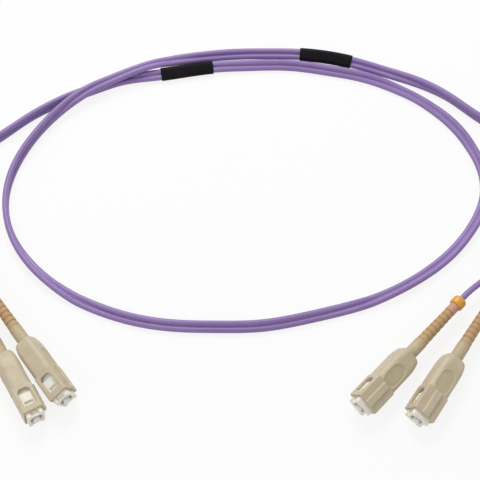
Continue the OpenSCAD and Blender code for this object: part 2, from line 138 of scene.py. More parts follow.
class Slot(Enum):
    """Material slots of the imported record."""

    HOUSING = "housing"
    PLUG_FRAME = "plug_frame"
    FERRULE = "ferrule"
    FLANGE = "flange"
    SPRING = "spring"
    BUFFER = "buffer"
    BACKBONE = "backbone"
    CRIMP = "crimp_sleeve"
    BOOT = "boot"
    COLLAR = "collar"
    JACKET = "jacket"
    MARKER = "marker"


@dataclass(frozen=True)
class PlugSizes:
    """Depths behind the ferrule's tip, diameters and widths of one plug."""

    nose_w: float = 9.0
    nose_h: float = 7.4
    nose_r: float = 0.6
    grip_w: float = 9.1
    grip_h: float = 7.8
    grip_r: float = 2.3
    housing_front: float = 3.0
    grip_front: float = 13.0
    housing_rear: float = 28.0
    frame_rear: float = 21.5
    shoulder_rear: float = 22.4
    jacket_front: float = 30.5
    boot_rear: float = 56.4
    collar_rear: float = 57.3


SIZES = PlugSizes()


@dataclass(frozen=True)
class PlugPlace:
    """Where one plug lies on the table."""

    end: str
    tip_x: float
    tip_y: float
    heading: float
    roll: float

    @staticmethod
    def reach(width: float, height: float, corner: float, roll: float) -> float:
        """How far a rolled bar with round corners reaches below its axis.

        Args:
            width: The bar's width.
            height: The bar's height.
            corner: Its corner radius.
            roll: Its roll in degrees.

        Returns:
            The reach in millimetres.
        """
        turn = math.radians(roll)
        sideways = (width / 2 - corner) * abs(math.sin(turn))
        return sideways + (height / 2 - corner) * abs(math.cos(turn)) + corner

    @property
    def height(self) -> float:
        """Height of the plug's axis over the table."""
        nose = self.reach(SIZES.nose_w, SIZES.nose_h, SIZES.nose_r, self.roll)
        grip = self.reach(SIZES.grip_w, SIZES.grip_h, SIZES.grip_r, self.roll)
        return max(nose, grip)

    @property
    def mating(self) -> np.ndarray:
        """Unit vector of the mating direction."""
        turn = math.radians(self.heading)
        return np.array([math.cos(turn), math.sin(turn), 0.0])

    def point(self, depth: float) -> np.ndarray:
        """The point of the plug's axis that lies this far behind the tip."""
        return np.array([self.tip_x, self.tip_y, self.height]) - self.mating * depth

    @property
    def matrix(self) -> Matrix:
        """Takes a standing plug in millimetres to its place in metres."""
        return (
            Matrix.Translation(Vector(self.point(0)) * MM)
            @ Matrix.Rotation(math.radians(self.heading), 4, "Z")
            @ Matrix.Rotation(math.radians(self.roll), 4, "X")
            @ Matrix.Rotation(math.radians(90), 4, "Y")
            @ Matrix.Scale(MM, 4)
        )


PLUGS = [
    PlugPlace("a1", -54.7, -19.3, -53.5, -64),
    PlugPlace("a2", -64.5, -25.9, -59.5, -94),
    PlugPlace("b1", 43, -22, -133, -33),
    PlugPlace("b2", 62.2, -26.4, -124, -28),
]


# ---- paths ----


@dataclass
class SmoothPath:
    """A curve through chosen points, as smooth as a bent cable.

    The first two or three columns are the place, and any further columns are
    carried along with it.
    """

    points: np.ndarray
    start: np.ndarray
    finish: np.ndarray
    spacing: float

    @staticmethod
    def _bends(
        knots: np.ndarray, values: np.ndarray, ends: tuple[float, float] | None
    ) -> np.ndarray:
        """Second derivatives of the spline through one column.

        Args:
            knots: Distances of the points along their chords.
            values: The column.
            ends: Slopes at both ends, or None for free ends.

        Returns:
            One second derivative for each point.
        """
        n = len(knots)
        h = np.diff(knots)
        slopes = np.diff(values) / h
        system = np.zeros((n, n))
        known = np.zeros(n)
        for i in range(1, n - 1):
            system[i, i - 1 : i + 2] = h[i - 1], 2 * (h[i - 1] + h[i]), h[i]
            known[i] = 6 * (slopes[i] - slopes[i - 1])
        if ends is None:
            system[0, 0] = system[-1, -1] = 1
        else:
            system[0, :2] = 2 * h[0], h[0]
            system[-1, -2:] = h[-1], 2 * h[-1]
            known[0] = 6 * (slopes[0] - ends[0])
            known[-1] = 6 * (ends[1] - slopes[-1])
        return np.linalg.solve(system, known)

    def sample(self) -> np.ndarray:
        """Points along the curve, about one spacing apart.

        Returns:
            An array with the columns of the chosen points.
        """
        place = len(self.start)
        knots = distances(self.points[:, :place])
        count = int(round(knots[-1] / self.spacing)) + 1
        t = np.linspace(0, knots[-1], count)
        i = np.clip(np.searchsorted(knots, t, side="right") - 1, 0, len(knots) - 2)
        h = knots[i + 1] - knots[i]
        a, b = (knots[i + 1] - t) / h, (t - knots[i]) / h
        columns = []
        for c in range(self.points.shape[1]):
            y = self.points[:, c]
            ends = (self.start[c], self.finish[c]) if c < place else None
            m = self._bends(knots, y, ends)
            bend = ((a**3 - a) * m[i] + (b**3 - b) * m[i + 1]) * h**2 / 6
            columns.append(a * y[i] + b * y[i + 1] + bend)
        return np.stack(columns, axis=1)


def along(path: np.ndarray) -> np.ndarray:
    """Unit directions along a path, one for each point."""
    steps = np.gradient(path, axis=0)
    return steps / np.linalg.norm(steps, axis=1, keepdims=True)


def distances(path: np.ndarray) -> np.ndarray:
    """Distance from the path's start to each of its points."""
    return np.concatenate([[0], np.cumsum(np.linalg.norm(np.diff(path, axis=0), axis=1))])


# ---- mesh making ----


@dataclass
class Shell:
    """Plain mesh data on its way to a Blender object."""

    points: np.ndarray
    faces: list[tuple[int, ...]]
    uv: np.ndarray | None = None
    normals: np.ndarray | None = None
    sharp_angle: float = 40.0

    def outwards(self) -> Shell:
        """Turns the faces round if the shell encloses less than nothing.

        Returns:
            The same shell.
        """
        volume = 0.0
        for face in self.faces:
            a = self.points[face[0]]
            for k in range(1, len(face) - 1):
                b, c = self.points[face[k]], self.points[face[k + 1]]
                volume += float(np.dot(a, np.cross(b, c)))
        if volume < 0:
            self.faces = [tuple(reversed(face)) for face in self.faces]
        return self

    def mesh(self, name: str) -> bpy.types.Mesh:
        """Makes the Blender mesh.

        Args:
            name: The mesh's name.

        Returns:
            The mesh, smooth shaded apart from its sharp edges.
        """
        mesh = bpy.data.meshes.new(name)
        mesh.from_pydata(self.points.tolist(), [], [list(map(int, f)) for f in self.faces])
        mesh.update()
        mesh.shade_smooth()
        if self.uv is not None:
            layer = mesh.uv_layers.new(name="Along")
            loops = np.zeros(len(mesh.loops), dtype=np.int32)
            mesh.loops.foreach_get("vertex_index", loops)
            layer.data.foreach_set("uv", self.uv[loops].astype(np.float32).ravel())
        if self.normals is not None:
            mesh.normals_split_custom_set_from_vertices(self.normals.tolist())
        else:
            mesh.set_sharp_from_angle(angle=math.radians(self.sharp_angle))
        return mesh


@dataclass(frozen=True)
class Part:
    """A finished mesh on its way into the frame."""

    name: str
    mesh: bpy.types.Mesh
    material: bpy.types.Material
    slot: Slot

    def place(self, body: str, nodes: tuple[str, ...], matrix: Matrix | None) -> bpy.types.Object:
        """Puts the mesh in its place, on its body and in its nodes' stead.

        Args:
            body: The body that it rides on.
            nodes: The nodes that it stands for.
            matrix: Where a standing mesh goes, or None if it is in place.

        Returns:
            The new object.
        """
        mesh = self.mesh if matrix is None else self.mesh.copy()
        if matrix is not None:
            mesh.transform(matrix)
        mesh.materials.clear()
        mesh.materials.append(self.material)
        piece = link(self.name, mesh)
        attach(piece, body)
        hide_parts(*nodes)
        LOG.info("%s: %d faces on %s", self.name, len(mesh.polygons), body)
        return piece


@dataclass(frozen=True)
class Lathe:
    """Turns a closed outline round the plug's axis.

    Each corner is (radius, depth, rounding).  A rounding takes up at most the
    given share of the shorter side next to it.
    """

    corners: list[tuple[float, float, float]]
    segments: int
    share: float = 0.48
    arc_points: int = 5

    def _outline(self) -> list[tuple[float, float]]:
        """The outline with its corners rounded.

        Returns:
            Points as (radius, depth).
        """
        out: list[tuple[float, float]] = []
        n = len(self.corners)
        for i, (r, d, rounding) in enumerate(self.corners):
            here = np.array([r, d])
            if rounding <= 0:
                out.append((r, d))
                continue
            before = np.array(self.corners[i - 1][:2])
            after = np.array(self.corners[(i + 1) % n][:2])
            room = min(np.linalg.norm(before - here), np.linalg.norm(after - here))
            cut = min(rounding, room * self.share)
            first, last = here + unit(before - here) * cut, here + unit(after - here) * cut
            for t in np.linspace(0, 1, self.arc_points):
                point = (1 - t) ** 2 * first + 2 * t * (1 - t) * here + t**2 * last
                out.append((float(point[0]), float(point[1])))
        return out

    def shell(self) -> Shell:
        """The turned shape, standing with its tip at the origin.

        Returns:
            A closed shell.
        """
        points: list[list[float]] = []
        rings: list[list[int]] = []
        for r, d in self._outline():
            if r < 1e-6:
                rings.append([len(points)])
                points.append([0, 0, -d])
                continue
            rings.append(list(range(len(points), len(points) + self.segments)))
            for k in range(self.segments):
                turn = 2 * math.pi * k / self.segments
                points.append([r * math.cos(turn), r * math.sin(turn), -d])
        faces: list[tuple[int, ...]] = []
        for a, b in zip(rings, rings[1:] + rings[:1]):
            for k in range(self.segments if len(a) + len(b) > 2 else 0):
                j = (k + 1) % self.segments
                corners = (a[k % len(a)], a[j % len(a)], b[j % len(b)], b[k % len(b)])
                faces.append(tuple(dict.fromkeys(corners)))
        return Shell(np.array(points), faces).outwards()


@dataclass(frozen=True)
class Tube:
    """Sweeps a closed outline along a path, tilted as it goes."""

    path: np.ndarray
    outline: np.ndarray
    tilts: np.ndarray | None = None

    def frames(self) -> tuple[np.ndarray, np.ndarray]:
        """Directions of the outline's two axes at each point of the path."""
        ahead = along(self.path)
        side = np.cross(UP, ahead)
        side /= np.linalg.norm(side, axis=1, keepdims=True)
        upright = np.cross(ahead, side)
        tilt = np.zeros(len(self.path)) if self.tilts is None else np.radians(self.tilts)
        wide = side * np.cos(tilt)[:, None] + upright * np.sin(tilt)[:, None]
        return wide, np.cross(ahead, wide)

    def rings(self) -> np.ndarray:
        """Every ring's points, as one array of rings by corners by three."""
        wide, thin = self.frames()
        across, up = self.outline[:, :1], self.outline[:, 1:]
        return self.path[:, None, :] + wide[:, None, :] * across + thin[:, None, :] * up

    def shell(self) -> Shell:
        """The swept shape with closed ends.

        Returns:
            A shell in metres whose UV holds the distance in metres and the
            share of the way round.
        """
        rings = self.rings()
        n, k = rings.shape[:2]
        points = np.concatenate([rings.reshape(-1, 3), self.path[:1], self.path[-1:]])
        a = np.arange(n - 1)[:, None] * k + np.arange(k)[None, :]
        b = np.arange(n - 1)[:, None] * k + (np.arange(k)[None, :] + 1) % k
        faces = [tuple(f) for f in np.stack([a, b, b + k, a + k], axis=-1).reshape(-1, 4)]
        first, last = n * k, n * k + 1
        faces += [((j + 1) % k, j, first) for j in range(k)]
        faces += [((n - 1) * k + j, (n - 1) * k + (j + 1) % k, last) for j in range(k)]
        far = distances(self.path)
        ring_uv = np.stack(
            [np.repeat(far * MM, k), np.tile(np.abs(np.linspace(-1, 1, k)), n)], axis=1
        )
        uv = np.concatenate([ring_uv, [[0, 0.5], [far[-1] * MM, 0.5]]])
        return Shell(points * MM, faces, uv=uv).outwards()


class Solid:
    """Signed distances of simple solids, in millimetres, less than zero inside."""

    @staticmethod
    def both(a: np.ndarray, b: np.ndarray, ease: float = 0.0) -> np.ndarray:
        """What two solids share, with an eased edge.

        Args:
            a: First distance.
            b: Second distance.
            ease: Width of the eased edge.

        Returns:
            The distance.
        """
        if ease <= 0:
            return np.maximum(a, b)
        h = np.maximum(ease - np.abs(a - b), 0) / ease
        return np.maximum(a, b) + h * h * ease / 4

    @classmethod
    def either(cls, a: np.ndarray, b: np.ndarray, ease: float = 0.0) -> np.ndarray:
        """Two solids joined, with an eased corner."""
        return -cls.both(-a, -b, ease)

    @classmethod
    def less(cls, a: np.ndarray, b: np.ndarray, ease: float = 0.0) -> np.ndarray:
        """The first solid with the second cut out of it."""
        return cls.both(a, -b, ease)

    @staticmethod
    def slab(v: np.ndarray, low: float, high: float) -> np.ndarray:
        """The space between two parallel planes."""
        return np.maximum(low - v, v - high)

    @staticmethod
    def bar(
        x: np.ndarray, y: np.ndarray, half_x: Number, half_y: Number, corner: Number
    ) -> np.ndarray:
        """An endless bar with round corners.

        Args:
            x: Place across its height.
            y: Place across its width.
            half_x: Half its height.
            half_y: Half its width.
            corner: Its corner radius.

        Returns:
            The distance.
        """
        qx, qy = np.abs(x) - half_x + corner, np.abs(y) - half_y + corner
        outside = np.hypot(np.maximum(qx, 0), np.maximum(qy, 0))
        return outside + np.minimum(np.maximum(qx, qy), 0) - corner


@dataclass(frozen=True)
class Moulding:
    """Meshes a solid that is given by its distance, with soft moulded edges."""

    solid: Field3
    low: tuple[float, float, float]
    high: tuple[float, float, float]
    step: float
    keep: float
    probe: float = 0.01

    def gradient(self, points: np.ndarray) -> np.ndarray:
        """Unit direction away from the solid at each point."""
        shifts = np.eye(3) * self.probe
        parts = [self.solid(*(points + v).T) - self.solid(*(points - v).T) for v in shifts]
        slope = np.stack(parts, axis=1)
        return slope / np.maximum(np.linalg.norm(slope, axis=1, keepdims=True), 1e-9)

    def _net(self) -> tuple[np.ndarray, np.ndarray]:
        """Lays a net of four-sided faces over the solid's surface.

        Returns:
            The net's points and its faces.
        """
        axes = [np.arange(a, b + self.step, self.step) for a, b in zip(self.low, self.high)]
        grid = self.solid(*np.meshgrid(*axes, indexing="ij"))
        inside = grid < 0
        n = [s - 1 for s in grid.shape]

        def corner(a: np.ndarray, i: int, j: int, k: int) -> np.ndarray:
            """The given corner of every cell."""
            return a[i : i + n[0], j : j + n[1], k : k + n[2]]

        corners = [(i, j, k) for i in (0, 1) for j in (0, 1) for k in (0, 1)]
        filled = sum(corner(inside, *c).astype(np.int8) for c in corners)
        cells = np.argwhere((filled > 0) & (filled < 8))
        index = np.full(n, -1, dtype=np.int64)
        index[tuple(cells.T)] = np.arange(len(cells))
        total, hits = np.zeros((len(cells), 3)), np.zeros(len(cells))
        for p in corners:
            for axis in range(3):
                if p[axis]:
                    continue
                q = tuple(1 if a == axis else p[a] for a in range(3))
                fp = grid[tuple((cells + p).T)]
                fq = grid[tuple((cells + q).T)]
                cross = (fp < 0) != (fq < 0)
                t = np.where(cross, fp / np.where(cross, fp - fq, 1), 0)
                spot = cells + np.array(p, float)
                spot[:, axis] += t
                total += spot * cross[:, None]
                hits += cross
        points = np.array(self.low) + self.step * total / hits[:, None]
        faces = []
        for axis in range(3):
            b, c = (axis + 1) % 3, (axis + 2) % 3
            near = [slice(None)] * 3
            near[axis] = slice(0, n[axis])
            far = [slice(None)] * 3
            far[axis] = slice(1, n[axis] + 1)
            change = inside[tuple(near)] != inside[tuple(far)]
            edges = np.argwhere(change)
            edges = edges[(edges[:, b] > 0) & (edges[:, c] > 0)]
            edges = edges[(edges[:, b] < n[b]) & (edges[:, c] < n[c])]
            quad = []
            for db, dc in ((0, 0), (-1, 0), (-1, -1), (0, -1)):
                cell = edges.copy()
                cell[:, b] += db
                cell[:, c] += dc
                quad.append(index[tuple(cell.T)])
            quad = np.stack(quad, axis=1)
            leaving = inside[tuple(edges.T)]
            quad[~leaving] = quad[~leaving][:, ::-1]
            faces.append(quad)
        return points, np.concatenate(faces)

    def mesh(self, name: str) -> bpy.types.Mesh:
        """Meshes the solid, thins it and gives it the solid's own normals.

        Args:
            name: The mesh's name.

        Returns:
            The mesh.
        """
        points, faces = self._net()
        for _ in range(3):
            away = self.gradient(points)
            gap = np.clip(self.solid(*points.T), -self.step / 2, self.step / 2)
            points = points - away * gap[:, None]
        rough = Shell(points, faces.tolist()).outwards().mesh(f"{name}_net")
        draft = link(f"{name}_draft", rough)
        draft.modifiers.new("three_sided", "TRIANGULATE")
        thin = draft.modifiers.new("thinned", "DECIMATE")
        thin.ratio = self.keep
        thinned = evaluated(draft)
        normals = self.gradient(vertices(thinned))
        thinned.shade_smooth()
        thinned.normals_split_custom_set_from_vertices(normals.tolist())
        thinned.name = name
        return thinned


# ---- node trees ----


class Graph:
    """Adds nodes to one tree and links them as they are added."""

    def __init__(self, tree: bpy.types.NodeTree) -> None:
        """Takes the tree to add to."""
        self.tree = tree

    def feed(self, socket: bpy.types.NodeSocket, value: object) -> None:
        """Links a socket to another one, or sets its value."""
        if isinstance(value, bpy.types.NodeSocket):
            self.tree.links.new(value, socket)
        else:
            socket.default_value = value

    def add(self, kind: str, settings: dict | None = None, **inputs: object) -> bpy.types.Node:
        """Adds a node.

        Args:
            kind: The node's type.
            settings: Its own settings.
            **inputs: Values or sockets for its inputs.  An underscore stands
                for a space, and in0, in1 and so on count the inputs.

        Returns:
            The node.
        """
        node = self.tree.nodes.new(kind)
        for key, value in (settings or {}).items():
            setattr(node, key, value)
        for key, value in inputs.items():
            if key.startswith("in") and key[2:].isdigit():
                self.feed(node.inputs[int(key[2:])], value)
            else:
                self.feed(node.inputs[key.replace("_", " ")], value)
        return node

    def calc(self, operation: str, *values: object) -> bpy.types.NodeSocket:
        """Adds a Math node on one, two or three values."""
        inputs = {f"in{i}": v for i, v in enumerate(values)}
        return self.add("ShaderNodeMath", {"operation": operation}, **inputs).outputs[0]

    def times(self, first: object, second: object) -> bpy.types.NodeSocket:
        """The product of two values."""
        return self.calc("MULTIPLY", first, second)

    def less(self, first: object, second: object) -> bpy.types.NodeSocket:
        """The first value less the second."""
        return self.calc("SUBTRACT", first, second)

    def span(
        self, value: object, low: object, high: object,
        to: tuple[float, float] = (0.0, 1.0), ease: str = "LINEAR",
    ) -> bpy.types.NodeSocket:
        """Maps a value from one span to another, held at both ends.

        Args:
            value: The value's socket.
            low: Where the first span starts.
            high: Where it ends.
            to: The second span.
            ease: How the result goes from one end to the other.

        Returns:
            The result's socket.
        """
        return self.add(
            "ShaderNodeMapRange", {"interpolation_type": ease},
            in0=value, in1=low, in2=high, in3=to[0], in4=to[1],
        ).outputs[0]

    def here(self) -> bpy.types.NodeSocket:
        """The shaded spot in the object's own space."""
        return self.add("ShaderNodeTexCoord").outputs["Object"]

    def noise(self, place: object, scale: object, detail: float) -> bpy.types.NodeSocket:
        """Noise of a given scale and detail."""
        made = self.add("ShaderNodeTexNoise", None, Vector=place, Scale=scale, Detail=detail)
        return made.outputs[0]

    def mix(self, share: object, first: object, second: object) -> bpy.types.NodeSocket:
        """Mixes two colours, with this share of the second one."""
        node = self.add("ShaderNodeMix", {"data_type": "RGBA"}, in0=share, in6=first, in7=second)
        return node.outputs[2]


class Effect:
    """A shader node group that several finishes share, built once."""

    name = "effect"
    inputs: dict[str, float] = {}
    outputs: tuple[str, ...] = ()

    def build(self, graph: Graph, given: bpy.types.Node, result: bpy.types.Node) -> None:
        """Fills the group between its input and output nodes."""
        raise NotImplementedError

    def group(self) -> bpy.types.NodeTree:
        """The group, made on first use.

        Returns:
            The node group.
        """
        made = bpy.data.node_groups.get(self.name)
        if made is not None:
            return made
        tree = bpy.data.node_groups.new(self.name, "ShaderNodeTree")
        kind = "NodeSocketFloat"
        for key, value in self.inputs.items():
            socket = tree.interface.new_socket(name=key, in_out="INPUT", socket_type=kind)
            socket.default_value = value
        for key in self.outputs:
            tree.interface.new_socket(name=key, in_out="OUTPUT", socket_type=kind)
        graph = Graph(tree)
        self.build(graph, graph.add("NodeGroupInput"), graph.add("NodeGroupOutput"))
        return tree

    def use(self, graph: Graph, **values: object) -> bpy.types.Node:
        """Places the group in a material, with values for its inputs."""
        return graph.add("ShaderNodeGroup", {"node_tree": self.group()}, **values)


class Mottle(Effect):
    """Slow and quick variation of a moulded colour, and stray specks."""

    name = "mottle"
    inputs = {"Scale": 300.0}
    outputs = ("Broad", "Fine", "Specks")

    def build(self, graph: Graph, given: bpy.types.Node, result: bpy.types.Node) -> None:
        """Makes three noises of different sizes."""
        place, scale = graph.here(), given.outputs["Scale"]
        sizes = (("Broad", 1.0, 3.0, 0.3, 0.7), ("Fine", 6.0, 5.0, 0.3, 0.7),
                 ("Specks", 11.0, 1.0, 0.68, 0.74))
        for name, quicker, detail, low, high in sizes:
            noise = graph.noise(place, graph.times(scale, quicker), detail)
            graph.feed(result.inputs[name], graph.span(noise, low, high))


class EdgeWear(Effect):
    """Where edges are rubbed: how far the rounded normal leaves the real one."""

    name = "edge_wear"
    inputs = {"Radius": 0.0003, "Amount": 1.0}
    outputs = ("Mask",)

    def build(self, graph: Graph, given: bpy.types.Node, result: bpy.types.Node) -> None:
        """Compares the rounded normal with the surface's own."""
        soft = graph.add("ShaderNodeBevel", {"samples": 4}, Radius=given.outputs["Radius"])
        real = graph.add("ShaderNodeNewGeometry").outputs["Normal"]
        close = graph.add(
            "ShaderNodeVectorMath", {"operation": "DOT_PRODUCT"}, in0=soft.outputs[0], in1=real
        ).outputs["Value"]
        broken = graph.span(graph.noise(graph.here(), 1400.0, 4.0), 0.35, 0.6)
        patchy = graph.times(graph.span(close, 0.985, 0.8), broken)
        graph.feed(result.inputs["Mask"], graph.times(patchy, given.outputs["Amount"]))


class Grain(Effect):
    """Fine height of a moulded or drawn surface, with a few long scuffs."""

    name = "grain"
    inputs = {"Scale": 2500.0, "Scuffs": 0.4}
    outputs = ("Height",)

    def build(self, graph: Graph, given: bpy.types.Node, result: bpy.types.Node) -> None:
        """Adds stretched scuffs to a fine noise."""
        place = graph.here()
        fine = graph.noise(place, given.outputs["Scale"], 4.0)
        turned = graph.add(
            "ShaderNodeMapping", None,
            Vector=place, Rotation=(0.3, 0.2, 0.9), Scale=(1.0, 14.0, 1.0),
        )
        lines = graph.span(graph.noise(turned.outputs[0], 420.0, 2.0), 0.62, 0.7)
        scuffs = graph.times(lines, given.outputs["Scuffs"])
        graph.feed(result.inputs["Height"], graph.less(fine, scuffs))


class Dust(Effect):
    """Light dust and skin oil that dull some patches."""

    name = "dust"
    inputs = {"Amount": 0.5}
    outputs = ("Mask",)

    def build(self, graph: Graph, given: bpy.types.Node, result: bpy.types.Node) -> None:
        """Lays broad patches that thin out on steep faces."""
        patches = graph.noise(graph.here(), 160.0, 6.0)
        facing = graph.add("ShaderNodeNewGeometry").outputs["Normal"]
        up = graph.add("ShaderNodeSeparateXYZ", None, Vector=facing).outputs["Z"]
        lying = graph.span(up, -0.2, 0.9, (0.3, 1.0))
        mask = graph.times(graph.span(patches, 0.4, 0.65), lying)
        graph.feed(result.inputs["Mask"], graph.times(mask, given.outputs["Amount"]))


# ---- finishes ----


@dataclass(frozen=True)
class Finish:
    """A moulded plastic, which other finishes start from."""

    name: str
    colour: Colour
    tint: Colour
    worn: Colour
    roughness: tuple[float, float] = (0.42, 0.58)
    mottle_scale: float = 300.0
    grain_scale: float = 2500.0
    bump: float = 0.12
    wear: float = 0.5
    dust: float = 0.35
    metallic: float = 0.0
    coat: float = 0.0
    subsurface: float = 0.0
    specular: float = 0.5

    def ground(self, graph: Graph, mottle: bpy.types.Node) -> bpy.types.NodeSocket:
        """The colour before wear and dust.

        Args:
            graph: The material's graph.
            mottle: The mottle group's node.

        Returns:
            The colour's socket.
        """
        share = graph.times(mottle.outputs["Broad"], 0.6)
        fine = graph.calc("MULTIPLY_ADD", mottle.outputs["Fine"], 0.3, share)
        return graph.mix(fine, self.colour, self.tint)

    def height(self, graph: Graph) -> bpy.types.NodeSocket:
        """The surface's fine height."""
        return Grain().use(graph, Scale=self.grain_scale, Scuffs=0.4).outputs["Height"]

    def material(self) -> bpy.types.Material:
        """The finish as a material, made on first use.

        Returns:
            The material.
        """
        made = bpy.data.materials.get(self.name)
        if made is not None:
            return made
        material = bpy.data.materials.new(self.name)
        material.use_nodes = True
        material.diffuse_color = self.colour
        shader = material.node_tree.nodes["Principled BSDF"]
        graph = Graph(material.node_tree)
        mottle = Mottle().use(graph, Scale=self.mottle_scale)
        colour = self.ground(graph, mottle)
        rubbed = EdgeWear().use(graph, Amount=self.wear).outputs["Mask"]
        colour = graph.mix(rubbed, colour, self.worn)
        dusty = Dust().use(graph, Amount=self.dust).outputs["Mask"]
        pale = graph.mix(0.25, self.worn, (0.6, 0.58, 0.55, 1.0))
        colour = graph.mix(graph.times(dusty, 0.25), colour, pale)
        dark = tuple(0.45 * v for v in self.colour[:3]) + (1.0,)
        colour = graph.mix(graph.times(mottle.outputs["Specks"], 0.12), colour, dark)
        low, high = self.roughness
        rough = graph.span(mottle.outputs["Fine"], 0.0, 1.0, (low, high))
        rough = graph.calc("MULTIPLY_ADD", dusty, 0.12, rough)
        rough = graph.calc("MINIMUM", graph.calc("MULTIPLY_ADD", rubbed, -0.08, rough), 1.0)
        bump = graph.add(
            "ShaderNodeBump", None, Strength=self.bump, Distance=0.00008, Height=self.height(graph)
        )
        graph.feed(shader.inputs["Base Color"], colour)
        graph.feed(shader.inputs["Roughness"], rough)
        graph.feed(shader.inputs["Normal"], bump.outputs[0])
        shader.inputs["Metallic"].default_value = self.metallic
        shader.inputs["Coat Weight"].default_value = self.coat
        shader.inputs["Coat Roughness"].default_value = 0.12
        shader.inputs["Specular IOR Level"].default_value = self.specular
        if self.subsurface:
            shader.inputs["Subsurface Weight"].default_value = self.subsurface
            shader.inputs["Subsurface Radius"].default_value = (1.0, 0.8, 0.6)
            shader.inputs["Subsurface Scale"].default_value = 0.0008
        return material


@dataclass(frozen=True)
class JacketFinish(Finish):
    """Extruded cable jacket with faint streaks along its length."""

    def _streaks(self, graph: Graph, around: float, length: float) -> bpy.types.NodeSocket:
        """Noise that is drawn out along the cable.

        Args:
            graph: The material's graph.
            around: How quickly it changes round the cable.
            length: How quickly it changes along it.

        Returns:
            The noise's socket.
        """
        uv = graph.add("ShaderNodeUVMap", {"uv_map": "Along"}).outputs[0]
        drawn = graph.add("ShaderNodeMapping", None, Vector=uv, Scale=(length, around, 1.0))
        return graph.noise(drawn.outputs[0], 1.0, 4.0)

    def ground(self, graph: Graph, mottle: bpy.types.Node) -> bpy.types.NodeSocket:
        """The jacket's colour with streaks and slow changes along it."""
        streaks = graph.span(self._streaks(graph, 14.0, 40.0), 0.35, 0.65)
        slow = graph.span(self._streaks(graph, 1.0, 22.0), 0.35, 0.65)
        share = graph.calc("MULTIPLY_ADD", streaks, 0.35, graph.times(slow, 0.45))
        share = graph.calc("MULTIPLY_ADD", mottle.outputs["Fine"], 0.15, share)
        return graph.mix(share, self.colour, self.tint)

    def height(self, graph: Graph) -> bpy.types.NodeSocket:
        """Draw lines of the die and a fine grain."""
        lines = self._streaks(graph, 40.0, 12.0)
        grain = Grain().use(graph, Scale=self.grain_scale, Scuffs=0.2).outputs["Height"]
        return graph.calc("MULTIPLY_ADD", lines, 0.8, grain)


@dataclass(frozen=True)
class HousingFinish(Finish):
    """Moulded beige, with painted shade in the finger recesses: a darker, yellower colour there."""

    # Darker, yellower colour painted in the finger recesses as shade.
    recess_shade: Colour = srgb(190, 178, 138)

    def ground(self, graph: Graph, mottle: bpy.types.Node) -> bpy.types.NodeSocket:
        """The housing's colour, with painted shade in its finger recesses."""
        base = super().ground(graph, mottle)
        # Paints the recess shade, in patches, over the base colour.
        mask = graph.add("ShaderNodeAttribute", {"attribute_name": "recess_shade"}).outputs["Fac"]
        patchy = graph.span(mottle.outputs["Broad"], 0.0, 1.0, (0.5, 0.8))
        return graph.mix(graph.times(mask, patchy), base, self.recess_shade)


@dataclass(frozen=True)
class BootFinish(Finish):
    """Soft moulding that goes from beige at the neck to tan and rose."""

    middle: Colour = srgb(190, 152, 104)
    rear: Colour = srgb(208, 158, 134)

    def ground(self, graph: Graph, mottle: bpy.types.Node) -> bpy.types.NodeSocket:
        """The boot's colour along its length."""
        depth = graph.add("ShaderNodeAttribute", {"attribute_name": "depth"}).outputs["Fac"]
        wander = graph.calc("MULTIPLY_ADD", mottle.outputs["Fine"], 0.06, depth)
        base = super().ground(graph, mottle)
        base = graph.mix(graph.span(wander, 0.32, 0.5), base, self.middle)
        return graph.mix(graph.span(wander, 0.74, 0.95), base, self.rear)


JACKET = JacketFinish(
    "violet_jacket", srgb(155, 128, 188), srgb(129, 101, 163), srgb(194, 172, 217),
    roughness=(0.32, 0.45), bump=0.1, wear=0.25, dust=0.25, grain_scale=1800.0,
)
HOUSING = HousingFinish(
    "beige_moulding", srgb(212, 198, 172), srgb(196, 180, 150), srgb(228, 218, 198),
    roughness=(0.38, 0.52), subsurface=0.05,
)
FRAME = Finish(
    "ivory_moulding", srgb(250, 247, 236), srgb(240, 234, 216), srgb(252, 251, 244),
    roughness=(0.3, 0.42), wear=0.3, dust=0.2, subsurface=0.08,
)
CERAMIC = Finish(
    "white_zirconia", srgb(249, 248, 245), srgb(240, 239, 234), srgb(250, 250, 248),
    roughness=(0.08, 0.16), wear=0.1, dust=0.1, bump=0.03, coat=0.4, subsurface=0.1,
)
BOOT = BootFinish(
    "tan_elastomer", srgb(206, 190, 158), srgb(190, 172, 138), srgb(222, 206, 178),
    roughness=(0.5, 0.66), mottle_scale=420.0, bump=0.18, wear=0.35,
)
COLLAR = Finish(
    "amber_moulding", srgb(238, 172, 54), srgb(214, 142, 32), srgb(250, 206, 120),
    roughness=(0.28, 0.4), mottle_scale=420.0, bump=0.1, wear=0.45, coat=0.15, subsurface=0.08,
)
SLEEVE = Finish(
    "black_sleeve", srgb(12, 9, 13), srgb(22, 18, 24), srgb(50, 45, 54),
    roughness=(0.5, 0.64), bump=0.2, wear=0.3, dust=0.1, specular=0.1,
)
NICKEL = Finish(
    "nickel_plate", srgb(196, 196, 200), srgb(176, 176, 182), srgb(220, 220, 224),
    roughness=(0.22, 0.34), metallic=1.0, bump=0.05, wear=0.4, dust=0.1,
)
STEEL = Finish(
    "spring_wire", srgb(170, 172, 178), srgb(146, 148, 156), srgb(204, 206, 210),
    roughness=(0.2, 0.32), metallic=1.0, bump=0.06, wear=0.2, dust=0.1,
)
BRASS = Finish(
    "drawn_brass", srgb(206, 182, 118), srgb(184, 156, 92), srgb(228, 208, 154),
    roughness=(0.26, 0.4), metallic=1.0, bump=0.1, wear=0.4, dust=0.15,
)
ALLOY = Finish(
    "turned_alloy", srgb(200, 200, 196), srgb(184, 184, 180), srgb(224, 224, 220),
    roughness=(0.28, 0.42), metallic=1.0, bump=0.1, wear=0.4, dust=0.1,
)
BUFFER = Finish(
    "natural_buffer", srgb(240, 238, 226), srgb(230, 226, 208), srgb(248, 246, 240),
    roughness=(0.32, 0.44), wear=0.05, dust=0.1, bump=0.05, subsurface=0.15,
)


# ---- geometry node recipes ----


